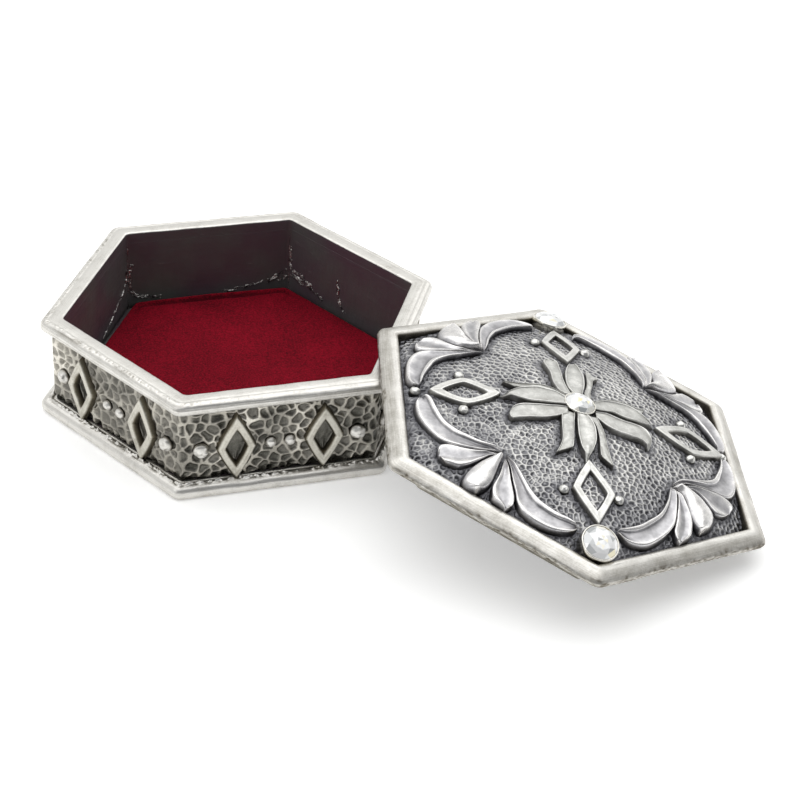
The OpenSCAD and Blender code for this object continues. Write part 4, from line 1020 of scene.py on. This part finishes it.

# Foiled crystal: every facet is painted as one clean pane of white, grey or pale yellow, a painted reflection standing
# in for the foil throwing the light straight back. The pane's tone is chosen by the way it faces
crystal, tree, shader = new_material("foiled_lead_crystal")
facing = add(tree, "TexCoord").outputs["Normal"]
painted_facet_reflection = add(tree, "TexNoise", {"Vector": facing, "Scale": 10.0, "Detail": 1.0})
tone = add(tree, "ValToRGB", {0: painted_facet_reflection},
           [(0.33, "#b3b6b7"), (0.43, "#f3f4f4"), (0.62, "#ffffff"), (0.67, "#f3e6b2"), (0.70, "#e2e4e4")])
feed(tree, shader, {"Base Color": tone, "Metallic": 0.25, "Roughness": 0.06, "Specular IOR Level": 0.8})


def ring_of(count, radius, z, offset=0.0):
    """Points evenly round a circle"""
    turn = (np.arange(count) + offset) * 2 * math.pi / count
    return np.column_stack([radius * np.cos(turn), radius * np.sin(turn), np.full(count, z)])


def hull(points):
    """Points and faces of the smallest solid round them"""
    work = bmesh.new()
    for p in points:
        work.verts.new(p)
    found = bmesh.ops.convex_hull(work, input=work.verts)
    loose = {v for v in found["geom_interior"] + found["geom_unused"] if isinstance(v, bmesh.types.BMVert)}
    bmesh.ops.delete(work, geom=list(loose), context="VERTS")
    bmesh.ops.dissolve_limit(work, angle_limit=0.01, verts=work.verts, edges=work.edges)
    work.verts.index_update()
    made = np.array([list(v.co) for v in work.verts]), [[v.index for v in f.verts] for f in work.faces]
    work.free()
    return made


# Name, radius, place, height of its seat and of its girdle, and how many degrees it leans. The outer two lean outwards
# with the slope of the dome, the near one a little more
STONES = (("centre", 2.25, (-0.1, 0.2), 4.8, 6.4, 0), ("far", 2.5, (0, 26.7), 0.9, 2.8, 13),
          ("near", 2.55, (0.2, -26.6), 0.9, 3.2, -21))
for name, radius, at, seat, top, lean_out in STONES:
    shift = np.array([*at, top])
    c, s = math.cos(math.radians(lean_out)), math.sin(math.radians(lean_out))
    lean_turn = np.array([[1, 0, 0], [0, c, -s], [0, s, c]])
    # The point behind the table shows through it as a faint star, drawn as a very low point on the table
    rings = ((8, 0.30, 0.89, 0.5), (8, 0.56, 0.80, 0), (8, 0.80, 0.55, 0.5), (16, 0.985, 0.08, 0.5),
             (16, 0.985, -0.04, 0.5), (8, 0.62, -0.5, 0), (8, 0.12, -0.9, 0.5))
    points, faces = hull(np.concatenate([[[0.1, 0.05, 0.94]]] + [ring_of(n, radius * share, z, offset)
                                                                 for n, share, z, offset in rings]))
    stone = (on_lid(points @ lean_turn + shift), faces, {"hollow": 0.0})
    piece("crystal_" + name, [stone], "lid", [crystal], ["stone_" + name], flat=True)
    # The cup's section: distance from the middle, height from the girdle, hollow
    wall = np.array([(radius + 0.18, seat - top, 0.5), (radius + 0.18, -0.35, 0.3), (radius + 0.19, 0.0, 0.1),
                     (radius + 0.15, 0.10, 0.0), (radius + 0.08, 0.14, 0.1), (radius - 0.02, 0.12, 0.3),
                     (radius - 0.06, 0.06, 0.3), (radius + 0.02, -0.04, 0.6), (radius * 0.995, -0.10, 0.6),
                     (radius * 0.64, -0.56, 0.5), (radius * 0.14, -0.95, 0.5), (radius * 0.14, seat - top, 0.5)])
    turn = np.arange(64)[:, None] * 2 * math.pi / 64
    rows = np.stack([wall[:, 0] * np.cos(turn), wall[:, 0] * np.sin(turn), wall[:, 1] + 0 * turn], -1)
    rows[:, 3:6, 2] += 0.04 * swell(turn * 3, 0, 200, 19)
    ring = (*loft(on_lid(rows @ lean_turn + shift), joined=True), {"hollow": wall[:, 2] + 0 * turn})
    piece("cup_ring_" + name, [ring], "lid", [silvered], ["cup_" + name])
